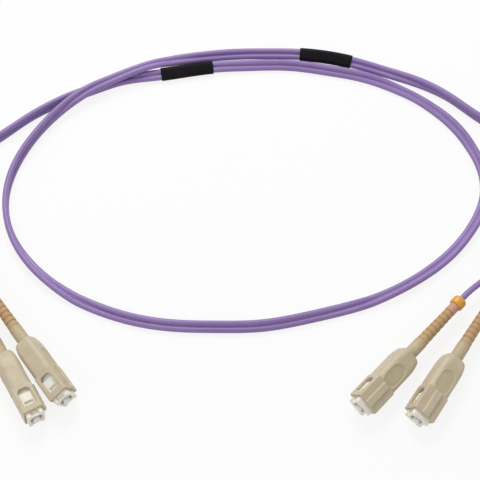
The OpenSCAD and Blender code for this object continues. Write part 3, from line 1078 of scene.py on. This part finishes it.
class Recipe:
    """A geometry node tree with named sizes that ends in a plain mesh."""

    name = "recipe"
    sizes: dict[str, float | int] = {}

    def build(self, graph: Graph, given: bpy.types.Node) -> bpy.types.NodeSocket:
        """Adds the nodes that make the shape.

        Args:
            graph: The tree's graph.
            given: The tree's input node.

        Returns:
            The socket of the made geometry.
        """
        raise NotImplementedError

    def apply(self, mesh: bpy.types.Mesh, material: bpy.types.Material) -> bpy.types.Mesh:
        """Runs the tree on a mesh.

        Args:
            mesh: The mesh to start from.
            material: The material that the result wears.

        Returns:
            The resulting mesh.
        """
        tree = bpy.data.node_groups.new(self.name, "GeometryNodeTree")
        for way in ("OUTPUT", "INPUT"):
            tree.interface.new_socket(
                name="Geometry", in_out=way, socket_type="NodeSocketGeometry"
            )
        keys = {}
        for key, value in self.sizes.items():
            kind = "NodeSocketInt" if isinstance(value, int) else "NodeSocketFloat"
            keys[key] = tree.interface.new_socket(name=key, in_out="INPUT", socket_type=kind)
        graph = Graph(tree)
        made = self.build(graph, graph.add("NodeGroupInput"))
        real = graph.add("GeometryNodeRealizeInstances", None, Geometry=made).outputs[0]
        dressed = graph.add("GeometryNodeSetMaterial", None, Geometry=real, Material=material)
        graph.feed(graph.add("NodeGroupOutput").inputs[0], dressed.outputs[0])
        carrier = link(f"{self.name}_carrier", mesh)
        modifier = carrier.modifiers.new(self.name, "NODES")
        modifier.node_group = tree
        for key, value in self.sizes.items():
            modifier[keys[key].identifier] = value
        carrier.update_tag()
        result = evaluated(carrier)
        bpy.data.node_groups.remove(tree)
        return result


class BootRibs(Recipe):
    """Raises rounded ribs on the plain rear stretch of a boot."""

    name = "boot_ribs"
    sizes: dict[str, float | int] = {
        "Ribs": 7, "Start": 35.1, "Pitch": 2.2, "Gap": 0.7, "First Radius": 2.15,
        "Last Radius": 1.9, "Groove": 0.35, "Edge": 0.2, "Bore": 1.45,
    }

    def build(self, graph: Graph, given: bpy.types.Node) -> bpy.types.NodeSocket:
        """Moves each outer point to its rib's or its groove's radius."""
        size = given.outputs
        place = graph.add("GeometryNodeInputPosition").outputs[0]
        x, y, z = graph.add("ShaderNodeSeparateXYZ", None, Vector=place).outputs
        radius = graph.calc("SQRT", graph.calc("MULTIPLY_ADD", x, x, graph.times(y, y)))
        depth = graph.times(z, -1.0)
        turns = graph.calc("DIVIDE", graph.less(depth, size["Start"]), size["Pitch"])
        rib = graph.calc("FLOOR", turns)
        share = graph.calc("DIVIDE", rib, graph.less(size["Ribs"], 1.0))
        drop = graph.less(size["Last Radius"], size["First Radius"])
        top = graph.calc("MULTIPLY_ADD", share, drop, size["First Radius"])
        within = graph.times(graph.calc("FRACT", turns), size["Pitch"])
        rib_end = graph.less(size["Pitch"], size["Gap"])
        from_edge = graph.calc("MINIMUM", within, graph.less(rib_end, within))
        low, high = (graph.times(size["Edge"], side) for side in (-0.5, 0.5))
        rise = graph.span(from_edge, low, high, ease="SMOOTHSTEP")
        sunk = graph.times(graph.less(1.0, rise), size["Groove"])
        target = graph.less(top, sunk)
        grow = graph.calc("DIVIDE", target, graph.calc("MAXIMUM", radius, 0.01))
        moved = graph.add(
            "ShaderNodeCombineXYZ", None, X=graph.times(x, grow),
            Y=graph.times(y, grow), Z=z,
        ).outputs[0]
        started = graph.calc("GREATER_THAN", turns, -0.001)
        ended = graph.calc("LESS_THAN", turns, graph.less(size["Ribs"], 0.001))
        outer = graph.calc("GREATER_THAN", radius, size["Bore"])
        chosen = graph.times(graph.times(started, ended), outer)
        return graph.add(
            "GeometryNodeSetPosition", None,
            Geometry=size["Geometry"], Selection=chosen, Position=moved,
        ).outputs[0]


class SpringCoil(Recipe):
    """Winds one unbroken wire of round section."""

    name = "spring_coil"
    sizes: dict[str, float | int] = {
        "Coils": 7.0, "Coil Radius": 2.0, "Wire Radius": 0.225, "Rise": 6.55, "Rear": 16.55,
    }

    def build(self, graph: Graph, given: bpy.types.Node) -> bpy.types.NodeSocket:
        """Sweeps the wire's round section along a spiral."""
        size = given.outputs
        spiral = graph.add(
            "GeometryNodeCurveSpiral", None, Resolution=32, Rotations=size["Coils"],
            Start_Radius=size["Coil Radius"], End_Radius=size["Coil Radius"], Height=size["Rise"],
        ).outputs[0]
        section = graph.add(
            "GeometryNodeCurvePrimitiveCircle", None, Resolution=14, Radius=size["Wire Radius"]
        ).outputs[0]
        wire = graph.add(
            "GeometryNodeCurveToMesh", None, Curve=spiral, Profile_Curve=section, Fill_Caps=True
        ).outputs[0]
        low = graph.times(graph.less(size["Rear"], size["Wire Radius"]), -1.0)
        shift = graph.add("ShaderNodeCombineXYZ", None, Z=low).outputs[0]
        smooth = graph.add("GeometryNodeSetShadeSmooth", None, Geometry=wire).outputs[0]
        return graph.add(
            "GeometryNodeTransform", None, Geometry=smooth, Translation=shift
        ).outputs[0]


# ---- cable ----


@dataclass
class TwinCable:
    """The flat twin cable on its route over the table."""

    half_d: float = 2.2
    web: float = 0.1
    crease_half: float = 0.45
    spacing: float = 1.2
    sharp_angle: float = 50.0
    route: list[tuple[float, float, float, float]] = field(default_factory=lambda: [
        (-121.5, 70, 0, 0), (-113, 79.5, 0, 20), (-101.5, 85, 0, 50), (-90.5, 91.5, 0, 75),
        (-79.5, 101, 0, 85), (-67, 109.5, 0, 60), (-53.5, 116.5, 0, 10), (-41, 121, 0.2, 0),
        (-29.5, 122.5, 0.4, 25), (-6.5, 126.5, 0.4, 25), (8, 127.5, 0, 35), (24, 127.5, 0, 35),
        (39, 125, 0, 35), (53.5, 121.5, 0, 35), (67, 115.5, 0, 0), (79, 107, 0, 0),
        (88.5, 96, 0, 15), (95, 82, 0, -10), (96.5, 68, 0, 0), (91, 54, 0, 30),
        (81.5, 41.5, 0, 20), (69.5, 31.5, 0, 20), (56.5, 24, 0, 15), (42, 18.5, 0, -20),
        (27, 14.5, 0, -30), (11.5, 11.5, 0, -30), (-4.5, 11, 0, -30), (-20, 11.5, 0, -30),
        (-35, 14, 0, -30), (-49, 19, 0, -20), (-62, 26.5, 0, 25), (-73.5, 37, 0, 50),
        (-81.5, 50, 0, 80), (-84.5, 65, 0, 90), (-82, 79.5, 0.3, 75), (-76, 92, 0.8, 75),
        (-67.5, 103.5, 1.4, 60), (-57, 113, 2.6, 20), (-44, 120.5, 2.9, -5), (-30, 126.5, 3, -10),
        (-15, 130.5, 1.2, 25), (0, 133, 0.1, 35), (13, 133.5, 0, 30), (26, 133, 0.3, 35),
        (49.5, 128.5, 0.4, 35), (61, 124.5, 0.1, 30), (74, 119, 0, 55), (86.5, 111, 0, 85),
        (97, 101.5, 0, 80), (107.5, 93.5, 0, 55), (115.5, 83.5, 0, 20), (120.5, 72, 0, 0),
    ])
    path: np.ndarray = field(init=False)
    tilts: np.ndarray = field(init=False)

    def __post_init__(self) -> None:
        """Samples the route."""
        points = np.array(self.route, float)
        start, finish = (unit(points[i + 1, :2] - points[i, :2]) for i in (0, len(points) - 2))
        smooth = SmoothPath(points, start, finish, self.spacing).sample()
        self.tilts = smooth[:, 3]
        lift = np.maximum(smooth[:, 2], 0)
        rise = (self.half_d + self.pitch * np.abs(np.sin(np.radians(self.tilts)))) / 2
        self.path = np.column_stack([smooth[:, :2], rise + lift])

    @property
    def pitch(self) -> float:
        """Distance between the centres of the two halves."""
        return self.half_d + self.web

    def outline(self) -> np.ndarray:
        """The flat section: two round halves with a crease between them.

        Returns:
            Points as (wide, thin).
        """
        r = self.half_d / 2
        reach = 180 - math.degrees(math.asin(self.crease_half / r))
        lobe = np.radians(np.linspace(-reach, reach, 17))
        right = np.column_stack([self.pitch / 2 + r * np.cos(lobe), r * np.sin(lobe)])
        middle = np.array([[0, self.crease_half * 0.94]])
        return np.concatenate([right, middle, -right, -middle])

    def split(self, at_start: bool) -> tuple[np.ndarray, np.ndarray]:
        """Where the cable splits.

        Args:
            at_start: True for the first end.

        Returns:
            The split's centre and the direction into the twin cable.
        """
        points = np.array(self.route, float)[:, :2]
        i, j = (0, 1) if at_start else (-1, -2)
        ahead = unit(points[j] - points[i])
        return np.array([*points[i], self.half_d / 2]), np.array([*ahead, 0.0])

    def build(self) -> bpy.types.Object:
        """Makes the cable.

        Returns:
            The cable's object.
        """
        shell = Tube(self.path, self.outline(), self.tilts).shell()
        shell.sharp_angle = self.sharp_angle
        part = Part("twin_cable", shell.mesh("twin_cable"), JACKET.material(), Slot.JACKET)
        return part.place("cord_and_plugs", ("duplex_cord",), None)

    def declare(self) -> None:
        float(distances(self.path)[-1]) * MM


@dataclass
class SingleLeg:
    """One half of the cable between its plug and the split."""

    plug: PlugPlace
    cable: TwinCable
    free: list[tuple[float, float, float]]
    path: np.ndarray = field(init=False)

    def __post_init__(self) -> None:
        """Finds the leg's path: straight in the boot and then free."""
        number = [p.end for p in PLUGS].index(self.plug.end)
        at_start = number < 2
        centre, inward = self.cable.split(at_start)
        side = unit(np.cross(UP, inward))
        half = -1 if (number % 2 == 0) == at_start else 1
        face = centre + half * side * self.cable.pitch / 2
        d = self.cable.half_d
        leave = SIZES.collar_rear + d
        inside = [self.plug.point(v) for v in np.arange(SIZES.jacket_front, leave - 0.5, 1.0)]
        points = np.array([self.plug.point(leave), *self.free, face - inward * d, face])
        smooth = SmoothPath(points, -self.plug.mating, inward, 1.0).sample()
        smooth[:, 2] = np.maximum(smooth[:, 2], d / 2)
        self.path = np.concatenate([inside, smooth])

    def build(self) -> None:
        turn = np.radians(np.arange(0, 360, 15))
        outline = self.cable.half_d / 2 * np.column_stack([np.cos(turn), np.sin(turn)])
        name = f"single_leg_{self.plug.end}"
        shell = Tube(self.path, outline).shell()
        part = Part(name, shell.mesh(name), JACKET.material(), Slot.JACKET)
        piece = part.place("cord_and_plugs", (f"leg_{self.plug.end}",), None)
        tuple(self.plug.point(SIZES.collar_rear) * MM)
        float(distances(self.path)[-1]) * MM


@dataclass
class MarkerSleeve:
    """A blank black sleeve round the twin cable."""

    name: str
    cable: TwinCable
    first: int
    length: float = 21.0
    gap: float = 0.1
    wall: float = 0.3
    stations: int = 22
    lip: float = 0.05
    bevel: float = 0.1
    bevel_len: float = 0.06
    edge_len: float = 0.2

    def _ring(self, radius: float) -> np.ndarray:
        """A flat outline with half-round edges.

        Args:
            radius: Half its thickness.

        Returns:
            Points as (wide, thin).
        """
        turn = np.radians(np.linspace(-90, 90, 13))
        wide = self.cable.pitch / 2 + radius * np.cos(turn)
        right = np.column_stack([wide, radius * np.sin(turn)])
        return np.concatenate([right, -right])

    def build(self) -> bpy.types.Object:
        """Makes the sleeve along the cable's own bend.

        Returns:
            The sleeve's object.
        """
        points = np.array(self.cable.route, float)[self.first : self.first + 2, :2]
        away = np.linalg.norm(self.cable.path[:, :2] - points.mean(0), axis=1)
        near = int(np.argmin(away))
        far = distances(self.cable.path)
        stops = far[near] + np.linspace(-0.5, 0.5, self.stations) * self.length
        path = np.column_stack([np.interp(stops, far, self.cable.path[:, c]) for c in range(3)])
        tilts = np.interp(stops, far, self.cable.tilts)
        inner = self.cable.half_d / 2 + self.gap
        outer = inner + self.wall
        ahead = along(path)
        edge = [
            (0.0, inner + self.lip), (self.bevel_len, outer - self.bevel), (self.edge_len, outer),
        ]
        radii = (inner, *(radius for _, radius in edge))
        rings = {r: Tube(path, self._ring(r), tilts).rings() for r in radii}
        rows = [rings[radius][0] + ahead[0] * shift for shift, radius in edge]
        rows += list(rings[outer][1:-1])
        rows += [rings[radius][-1] - ahead[-1] * shift for shift, radius in reversed(edge)]
        rows += list(rings[inner][::-1])
        k = len(rows[0])
        faces = []
        for row in range(len(rows)):
            a, b = row * k, (row + 1) % len(rows) * k
            faces += [(a + j, a + (j + 1) % k, b + (j + 1) % k, b + j) for j in range(k)]
        shell = Shell(np.concatenate(rows) * MM, faces, sharp_angle=60).outwards()
        name, mesh = f"blank_sleeve_{self.name}", shell.mesh(self.name)
        part = Part(name, mesh, SLEEVE.material(), Slot.MARKER)
        return part.place("cord_and_plugs", (f"marker_{self.name}",), None)


# ---- plug ----


@dataclass
class OuterHousing:
    """The square outer housing that the fingers pull."""

    draw_w: float = 1.5
    draw_h: float = 1.0
    round_len: float = 6.5
    key_w: float = 2.6
    key_h: float = 0.85
    window_h: float = 4.4
    window_front: float = 5.2
    window_len: float = 6.5
    tunnel_h: float = 6.2
    tunnel_w: float = 7.3
    tunnel_r: float = 0.9
    tunnel_rear: float = 21.6
    recess_w: float = 5.4
    recess_len: float = 9.0
    recess_depth: float = 0.3
    step_r: float = 3.1
    step_front: float = 20.0
    hole_r: float = 2.5
    hole_front: float = 22.0
    slot_w: float = 2.6
    slot_reach: float = 4.05
    slot_front: float = 14.9
    slot_rear: float = 18.7
    ease: float = 0.3
    bevel: float = 0.35
    join_ease: float = 0.25
    draw_r: float = 0.3
    key_corner: float = 0.25
    key_ease: float = 0.2
    recess_ease: float = 0.3
    recess_rim: float = 0.35
    tunnel_ease: float = 0.12
    step_gap: float = 0.2
    hole_ease: float = 0.1
    window_corner: float = 0.25
    window_floor: float = 2.0
    window_ease: float = 0.28
    # Edge softness and least depth of the painted recess shade.
    recess_shade_fade: float = 0.5
    recess_shade_floor: float = 3.3

    def _recess(self, y: np.ndarray, depth: np.ndarray) -> np.ndarray:
        """Distance to the oval outline of a finger recess."""
        s = SIZES
        middle = (s.grip_front + s.housing_rear - self.round_len) / 2
        straight = (self.recess_len - self.recess_w) / 2
        beyond = np.maximum(np.abs(depth - middle) - straight, 0)
        return np.hypot(beyond, y) - self.recess_w / 2

    def solid(self, x: np.ndarray, y: np.ndarray, z: np.ndarray) -> np.ndarray:
        """Distance to the housing.

        Args:
            x: Across the broad faces, with the key at the low end.
            y: Across the window faces.
            z: The mating direction.

        Returns:
            The distance.
        """
        s, d = SIZES, -z
        nose = Solid.bar(x, y, s.nose_h / 2, s.nose_w / 2, s.nose_r)
        nose = Solid.both(nose, Solid.slab(d, s.housing_front, s.grip_front), self.ease)
        t = np.clip((d - s.housing_rear + self.round_len) / self.round_len, 0, 1)
        drawn = 1 - np.sqrt(1 - t * t)
        grip = Solid.bar(
            x, y, s.grip_h / 2 - self.draw_h * drawn, s.grip_w / 2 - self.draw_w * drawn,
            s.grip_r - self.draw_r * drawn,
        )
        grip = Solid.both(grip, Solid.slab(d, s.grip_front, s.housing_rear), self.ease)
        body = Solid.either(nose, grip, self.join_ease)
        key = Solid.bar(x + s.nose_h / 2, y, self.key_h, self.key_w / 2, self.key_corner)
        key = Solid.both(key, Solid.slab(d, s.housing_front, s.grip_front + 1), self.ease)
        body = Solid.either(body, key, self.key_ease)
        face = s.grip_h / 2 - self.recess_depth - np.abs(x)
        recess = Solid.both(self._recess(y, d), face, self.recess_ease)
        body = Solid.less(body, recess, self.recess_rim)
        flare = np.clip(s.housing_front + self.bevel - d, 0, self.bevel)
        tunnel = Solid.bar(
            x, y, self.tunnel_h / 2 + flare, self.tunnel_w / 2 + flare, self.tunnel_r
        )
        tunnel = Solid.both(tunnel, d - self.tunnel_rear)
        body = Solid.less(body, tunnel, self.tunnel_ease)
        radius = np.hypot(x, y)
        step = Solid.slab(d, self.step_front, s.shoulder_rear + self.step_gap)
        step = Solid.both(radius - self.step_r, step)
        widened = np.clip(d - s.housing_rear + self.ease, 0, self.ease)
        hole = Solid.both(radius - self.hole_r - widened, self.hole_front - d)
        body = Solid.less(body, Solid.either(step, hole), self.hole_ease)
        half_h, half_len = self.window_h / 2, self.window_len / 2
        ahead = d - self.window_front - half_len
        rounded = Solid.bar(x, np.maximum(ahead, 0), half_h, half_len, self.window_h / 3)
        square = Solid.bar(x, ahead, half_h, half_len, self.window_corner)
        window = Solid.both(Solid.both(rounded, square), self.window_floor - np.abs(y))
        body = Solid.less(body, window, self.window_ease)
        slot = Solid.both(np.abs(x) - self.slot_w / 2, np.abs(y) - self.slot_reach)
        return Solid.less(body, Solid.both(slot, Solid.slab(d, self.slot_front, self.slot_rear)))

    def mesh(self) -> bpy.types.Mesh:
        """The housing, standing, with the finger recesses marked where shade is painted.

        Returns:
            The mesh.
        """
        low, high = (-4.9, -4.9, -28.4), (4.3, 4.9, -2.6)
        mesh = Moulding(self.solid, low, high, step=0.15, keep=0.34).mesh("housing")
        x, y, z = vertices(mesh).T
        # Marks the finger recesses on the broad faces for painted shade.
        inside = np.clip(-self._recess(y, -z) / self.recess_shade_fade + 0.5, 0, 1)
        mark(mesh, "recess_shade", inside * (np.abs(x) > self.recess_shade_floor))
        return mesh


@dataclass
class PlugFrame:
    """The ivory inner frame with its latch channels and catches."""

    height: float = 6.0
    width: float = 7.1
    corner: float = 0.8
    front: float = 1.0
    channel_w: float = 3.0
    channel_depth: float = 0.8
    channel_rear: float = 7.0
    catch_front: float = 2.4
    catch_len: float = 2.4
    catch_h: float = 0.55
    bore_r: float = 2.2
    bore_rear: float = 10.0
    bevel: float = 0.35
    chamber_r: float = 2.5
    flange_front: float = 7.3
    pocket_w: float = 5.0
    pocket_front: float = 10.2
    pocket_rear: float = 12.6
    pocket_depth: float = 0.6
    lug_w: float = 2.4
    lug_reach: float = 3.95
    lug_front: float = 17.0
    lug_rear: float = 18.6
    teeth_w: float = 2.3
    teeth_floor: float = 2.3
    teeth_front: float = 18.35
    teeth_rear: float = 19.65
    ease: float = 0.3
    channel_ease: float = 0.15
    pocket_ease: float = 0.12
    catch_slope: float = 0.8
    catch_root: float = 0.3
    catch_ease: float = 0.08
    lug_ease: float = 0.15
    bore_ease: float = 0.1
    chamber_gap: float = 0.02
    chamber_ease: float = 0.05

    def solid(self, x: np.ndarray, y: np.ndarray, z: np.ndarray) -> np.ndarray:
        """Distance to the plug frame."""
        d, side, flat = -z, np.abs(y), np.abs(x)
        body = Solid.bar(x, y, self.height / 2, self.width / 2, self.corner)
        body = Solid.both(body, Solid.slab(d, self.front, SIZES.frame_rear), self.ease)
        floor = self.width / 2 - self.channel_depth
        lane = flat - self.channel_w / 2
        channel = Solid.both(Solid.both(lane, floor - side), d - self.channel_rear)
        body = Solid.less(body, channel, self.channel_ease)
        pocket = Solid.slab(d, self.pocket_front, self.pocket_rear)
        pocket = Solid.both(flat - self.pocket_w / 2, pocket)
        pocket = Solid.both(pocket, self.width / 2 - self.pocket_depth - side)
        body = Solid.less(body, pocket, self.pocket_ease)
        run = self.catch_slope * self.catch_len
        climb = np.clip((d - self.catch_front) / run, 0, 1) * self.catch_h
        catch = Solid.both(lane, Solid.slab(d, self.catch_front, self.catch_front + self.catch_len))
        root = floor - self.catch_root - side
        catch = Solid.both(Solid.both(catch, side - floor - climb), root)
        body = Solid.either(body, catch, self.catch_ease)
        lug = Solid.both(flat - self.lug_w / 2, side - self.lug_reach)
        lug = Solid.both(lug, Solid.slab(d, self.lug_front, self.lug_rear), self.lug_ease)
        body = Solid.either(body, lug, self.catch_ease)
        radius = np.hypot(x, y)
        bore = radius - self.bore_r - np.clip(self.front + self.bevel - d, 0, self.bevel)
        body = Solid.less(body, Solid.both(bore, d - self.bore_rear), self.bore_ease)
        chamber = self.flange_front - self.chamber_gap - d
        chamber = Solid.both(radius - self.chamber_r, chamber)
        body = Solid.less(body, chamber, self.chamber_ease)
        teeth = Solid.slab(d, self.teeth_front, self.teeth_rear)
        teeth = Solid.both(Solid.both(side - self.teeth_w / 2, teeth), self.teeth_floor - flat)
        return Solid.less(body, teeth, self.bore_ease)

    def mesh(self) -> bpy.types.Mesh:
        """The frame, standing."""
        low, high = (-3.4, -4.2, -21.9), (3.4, 4.2, -0.6)
        return Moulding(self.solid, low, high, step=0.12, keep=0.3).mesh("plug_frame")


@dataclass
class Ferrule:
    """The white ceramic pin with its domed and bevelled tip."""

    radius: float = 1.25
    root_radius: float = 1.05
    tip_radius: float = 0.75
    bevel: float = 0.6
    root_front: float = 7.3
    rear: float = 10.5

    def mesh(self) -> bpy.types.Mesh:
        """The ferrule, standing."""
        corners = [
            (0, 0, 0), (0.3, 0.005, 0), (0.55, 0.02, 0), (self.tip_radius, 0.05, 0.06),
            (self.radius, self.bevel, 0.25), (self.radius, self.root_front, 0.04),
            (self.root_radius, self.root_front, 0), (self.root_radius, self.rear, 0.06),
            (0, self.rear, 0),
        ]
        return Lathe(corners, segments=72).shell().mesh("ferrule")


@dataclass
class Boot:
    """The slim boot: a smooth neck and a ribbed tail."""

    neck_r: float = 2.3
    neck_rear: float = 34.4
    ribs_front: float = 35.1
    ribs_rear: float = 50.5
    first_r: float = 2.15
    tail_r: float = 1.9
    pocket_r: float = 1.95
    pocket_rear: float = 30.4
    bore_r: float = 1.25
    rings: int = 155

    def mesh(self, material: bpy.types.Material) -> bpy.types.Mesh:
        """The boot, standing, with its ribs and a depth for its colours.

        Args:
            material: The boot's material.

        Returns:
            The mesh.
        """
        front, rear = SIZES.shoulder_rear, SIZES.boot_rear
        stops = np.linspace(self.ribs_front, self.ribs_rear, self.rings)
        slope = (self.tail_r - self.first_r) / (self.ribs_rear - self.ribs_front)
        ribbed = [(self.first_r + slope * (v - stops[0]), float(v), 0.0) for v in stops]
        corners = [
            (self.neck_r, front, 0.25), (self.neck_r, self.neck_rear, 0.4), *ribbed,
            (self.tail_r, self.ribs_rear + 0.4, 0), (self.tail_r, rear, 0.2),
            (self.bore_r, rear, 0), (self.bore_r, self.pocket_rear, 0),
            (self.pocket_r, self.pocket_rear, 0), (self.pocket_r, front, 0.1),
        ]
        plain = Lathe(corners, segments=56).shell().mesh("boot_plain")
        mesh = BootRibs().apply(plain, material)
        mark(mesh, "depth", (-vertices(mesh)[:, 2] - front) / (rear - front))
        mesh.set_sharp_from_angle(angle=math.radians(50))
        return mesh


@dataclass
class Collar:
    """The amber ring at the boot's tail."""

    radius: float = 2.55
    length: float = 3.6
    seat_r: float = 1.9
    bore_r: float = 1.25

    def mesh(self) -> bpy.types.Mesh:
        """The collar, standing."""
        rear = SIZES.collar_rear
        front = rear - self.length
        corners = [
            (self.seat_r, front, 0), (self.radius - 0.35, front, 0.15),
            (self.radius, front + 0.4, 0.3), (self.radius, rear - 0.55, 0.45),
            (self.radius - 0.5, rear, 0.25), (self.bore_r, rear, 0.08),
            (self.bore_r, SIZES.boot_rear, 0), (self.seat_r, SIZES.boot_rear, 0),
        ]
        return Lathe(corners, segments=72).shell().mesh("collar")


@dataclass
class PlugSet:
    """Builds each kind of plug piece once and lays it at every plug."""

    nodes: dict[str, bpy.types.Object]
    spring_front: float = 9.55
    spring_rear: float = 16.55
    ferrule_travel: float = 1.0

    def _dress(self, kind: str, end: str, finish: Finish) -> None:
        """Gives an inner piece its finish.

        Args:
            kind: The node's name without its end.
            end: Which plug it is in.
            finish: The finish.
        """
        node = self.nodes[f"{kind}_{end}"]
        node.data.materials.clear()
        node.data.materials.append(finish.material())
        LOG.info("%s: dressed in %s", node.name, finish.name)

    def build(self) -> None:
        """Makes all pieces of the four plugs."""
        housing = OuterHousing().mesh()
        frame = PlugFrame().mesh()
        ferrule = Ferrule().mesh()
        boot = Boot().mesh(BOOT.material())
        collar = Collar().mesh()
        spring = SpringCoil().apply(bpy.data.meshes.new("spring_seed"), STEEL.material())
        inner = {"flange": NICKEL, "buffer": BUFFER, "backbone": ALLOY, "crimp": BRASS}
        length = self.spring_rear - self.spring_front
        for plug in PLUGS:
            end, lay = plug.end, plug.matrix
            root, pin = "cord_and_plugs", f"ferrule_set_{end}"
            kinds = [
                ("outer_housing", housing, HOUSING, Slot.HOUSING, f"housing_{end}", "grip"),
                ("inner_frame", frame, FRAME, Slot.PLUG_FRAME, root, "plug_frame"),
                ("ceramic_ferrule", ferrule, CERAMIC, Slot.FERRULE, pin, "ferrule"),
                ("ribbed_boot", boot, BOOT, Slot.BOOT, root, "boot"),
                ("boot_collar", collar, COLLAR, Slot.COLLAR, root, "collar"),
                ("coil_spring", spring, STEEL, Slot.SPRING, root, "spring"),
            ]
            made = {}
            for name, mesh, finish, slot, body, node in kinds:
                part = Part(f"{name}_{end}", mesh, finish.material(), slot)
                made[name] = part.place(body, (f"{node}_{end}",), lay)
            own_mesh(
                made["coil_spring"], f"ferrule_slide_{end}", axis=tuple(plug.mating),
                anchor=tuple(plug.point(self.spring_rear) * MM),
                keep=(length - self.ferrule_travel) / length,
            )
            for kind, finish in inner.items():
                self._dress(kind, end, finish)


# ---- studio ----


@dataclass
class Studio:
    """Camera, lamps, world and table."""

    look_at: tuple[float, float, float] = (0.0035, 0.0475, 0.0)
    distance: float = 0.45
    elevation: float = 60.0
    lens: float = 91.1
    world_light: float = 0.5
    table_glow: float = 0.85
    table_half: float = 3.0
    table_drop: float = 0.00002

    def camera(self) -> None:
        """Places the camera."""
        data = bpy.data.cameras.new("view")
        data.lens = self.lens
        data.sensor_width = 36.0
        data.clip_start, data.clip_end = 0.01, 20.0
        camera = link("view", data)
        tilt = math.radians(self.elevation)
        back = Vector((0, -math.cos(tilt), math.sin(tilt))) * self.distance
        camera.location = Vector(self.look_at) + back
        camera.rotation_euler = (math.radians(90 - self.elevation), 0, 0)
        bpy.context.scene.camera = camera

    def _lamp(
        self, name: str, place: tuple[float, float, float], size: float, watts: float
    ) -> None:
        """Adds a soft square lamp that faces the middle of the table.

        Args:
            name: The lamp's name.
            place: Where it hangs, in metres.
            size: Its side.
            watts: Its power.
        """
        data = bpy.data.lights.new(name, "AREA")
        data.size, data.energy = size, watts
        lamp = link(name, data)
        lamp.location = place
        aim = Vector(self.look_at) - Vector(place)
        lamp.rotation_euler = aim.to_track_quat("-Z", "Y").to_euler()

    def lights(self) -> None:
        """Hangs the lamps and lights the world."""
        self._lamp("key", (-0.1, 0.55, 0.62), size=0.35, watts=3.2)
        self._lamp("fill", (-0.45, -0.35, 0.55), size=0.45, watts=0.7)
        world = bpy.data.worlds.new("white_room")
        bpy.context.scene.world = world
        world.use_nodes = True
        graph = Graph(world.node_tree)
        lit = world.node_tree.nodes["Background"]
        lit.inputs["Color"].default_value = (1, 1, 1, 1)
        lit.inputs["Strength"].default_value = self.world_light
        seen = graph.add("ShaderNodeBackground", None, Color=(1, 1, 1, 1), Strength=1.0)
        either = graph.add("ShaderNodeMixShader", None, in0=self._seen(graph), in1=lit.outputs[0])
        graph.feed(either.inputs[2], seen.outputs[0])
        graph.feed(world.node_tree.nodes["World Output"].inputs["Surface"], either.outputs[0])
        bpy.context.scene.view_settings.view_transform = "Standard"

    @staticmethod
    def _seen(graph: Graph) -> bpy.types.NodeSocket:
        """One where a ray comes from the camera, a gloss or a glass."""
        path = graph.add("ShaderNodeLightPath").outputs
        seen = graph.calc("MAXIMUM", path["Is Camera Ray"], path["Is Glossy Ray"])
        return graph.calc("MAXIMUM", seen, path["Is Transmission Ray"])

    def table(self) -> None:
        """Lays the white table top."""
        sides = ((-1, -1), (1, -1), (1, 1), (-1, 1))
        corners = np.array([(x * self.table_half, y * self.table_half, -self.table_drop)
                            for x, y in sides])
        mesh = Shell(corners, [(0, 1, 2, 3)]).mesh("table_top")
        material = bpy.data.materials.new("white_table")
        material.use_nodes = True
        tree = material.node_tree
        graph = Graph(tree)
        shader = tree.nodes["Principled BSDF"]
        shader.inputs["Base Color"].default_value = (0.95, 0.95, 0.95, 1)
        shader.inputs["Roughness"].default_value = 0.9
        shader.inputs["Specular IOR Level"].default_value = 0.0
        glow = graph.add("ShaderNodeEmission", None, Color=(1, 1, 1, 1), Strength=1.0)
        share = graph.times(self._seen(graph), self.table_glow)
        mixed = graph.add("ShaderNodeMixShader", None, in0=share, in1=shader.outputs[0])
        graph.feed(mixed.inputs[2], glow.outputs[0])
        graph.feed(tree.nodes["Material Output"].inputs["Surface"], mixed.outputs[0])
        mesh.materials.append(material)
        link("table_top", mesh)


LEG_POINTS: dict[str, list[tuple[float, float, float]]] = {
    "a1": [(-95.5, 34, 5), (-104, 40, 3), (-112.5, 45.5, 1.6), (-120, 51, 1.2), (-124.5, 60, 1.2)],
    "a2": [
        (-100, 31.5, 4.2), (-110, 37.5, 2.4), (-120, 43, 1.3), (-126.5, 51.5, 1.2),
        (-127.5, 62, 1.2),
    ],
    "b1": [(88.5, 26, 5), (97, 33.5, 3), (105, 41.5, 1.6), (113, 51, 1.2), (120, 60, 1.2)],
    "b2": [(99.5, 28, 4.7), (107, 35.5, 2.6), (116, 43, 1.4), (122, 52, 1.2), (124, 62.5, 1.2)],
}


def main() -> None:
    """Loads the frame and builds the scene in order."""
    logging.basicConfig(level=logging.INFO, format="%(name)s: %(message)s")
    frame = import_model()
    studio = Studio()
    studio.camera()
    cable = TwinCable()
    twin = cable.build()
    sleeves = [MarkerSleeve("a", cable, 8).build(), MarkerSleeve("b", cable, 43).build()]
    cable.declare()
    for plug in PLUGS:
        SingleLeg(plug, cable, LEG_POINTS[plug.end]).build()
    PlugSet(frame["nodes"]).build()
    studio.lights()
    studio.table()


if __name__ == "__main__":
    main()
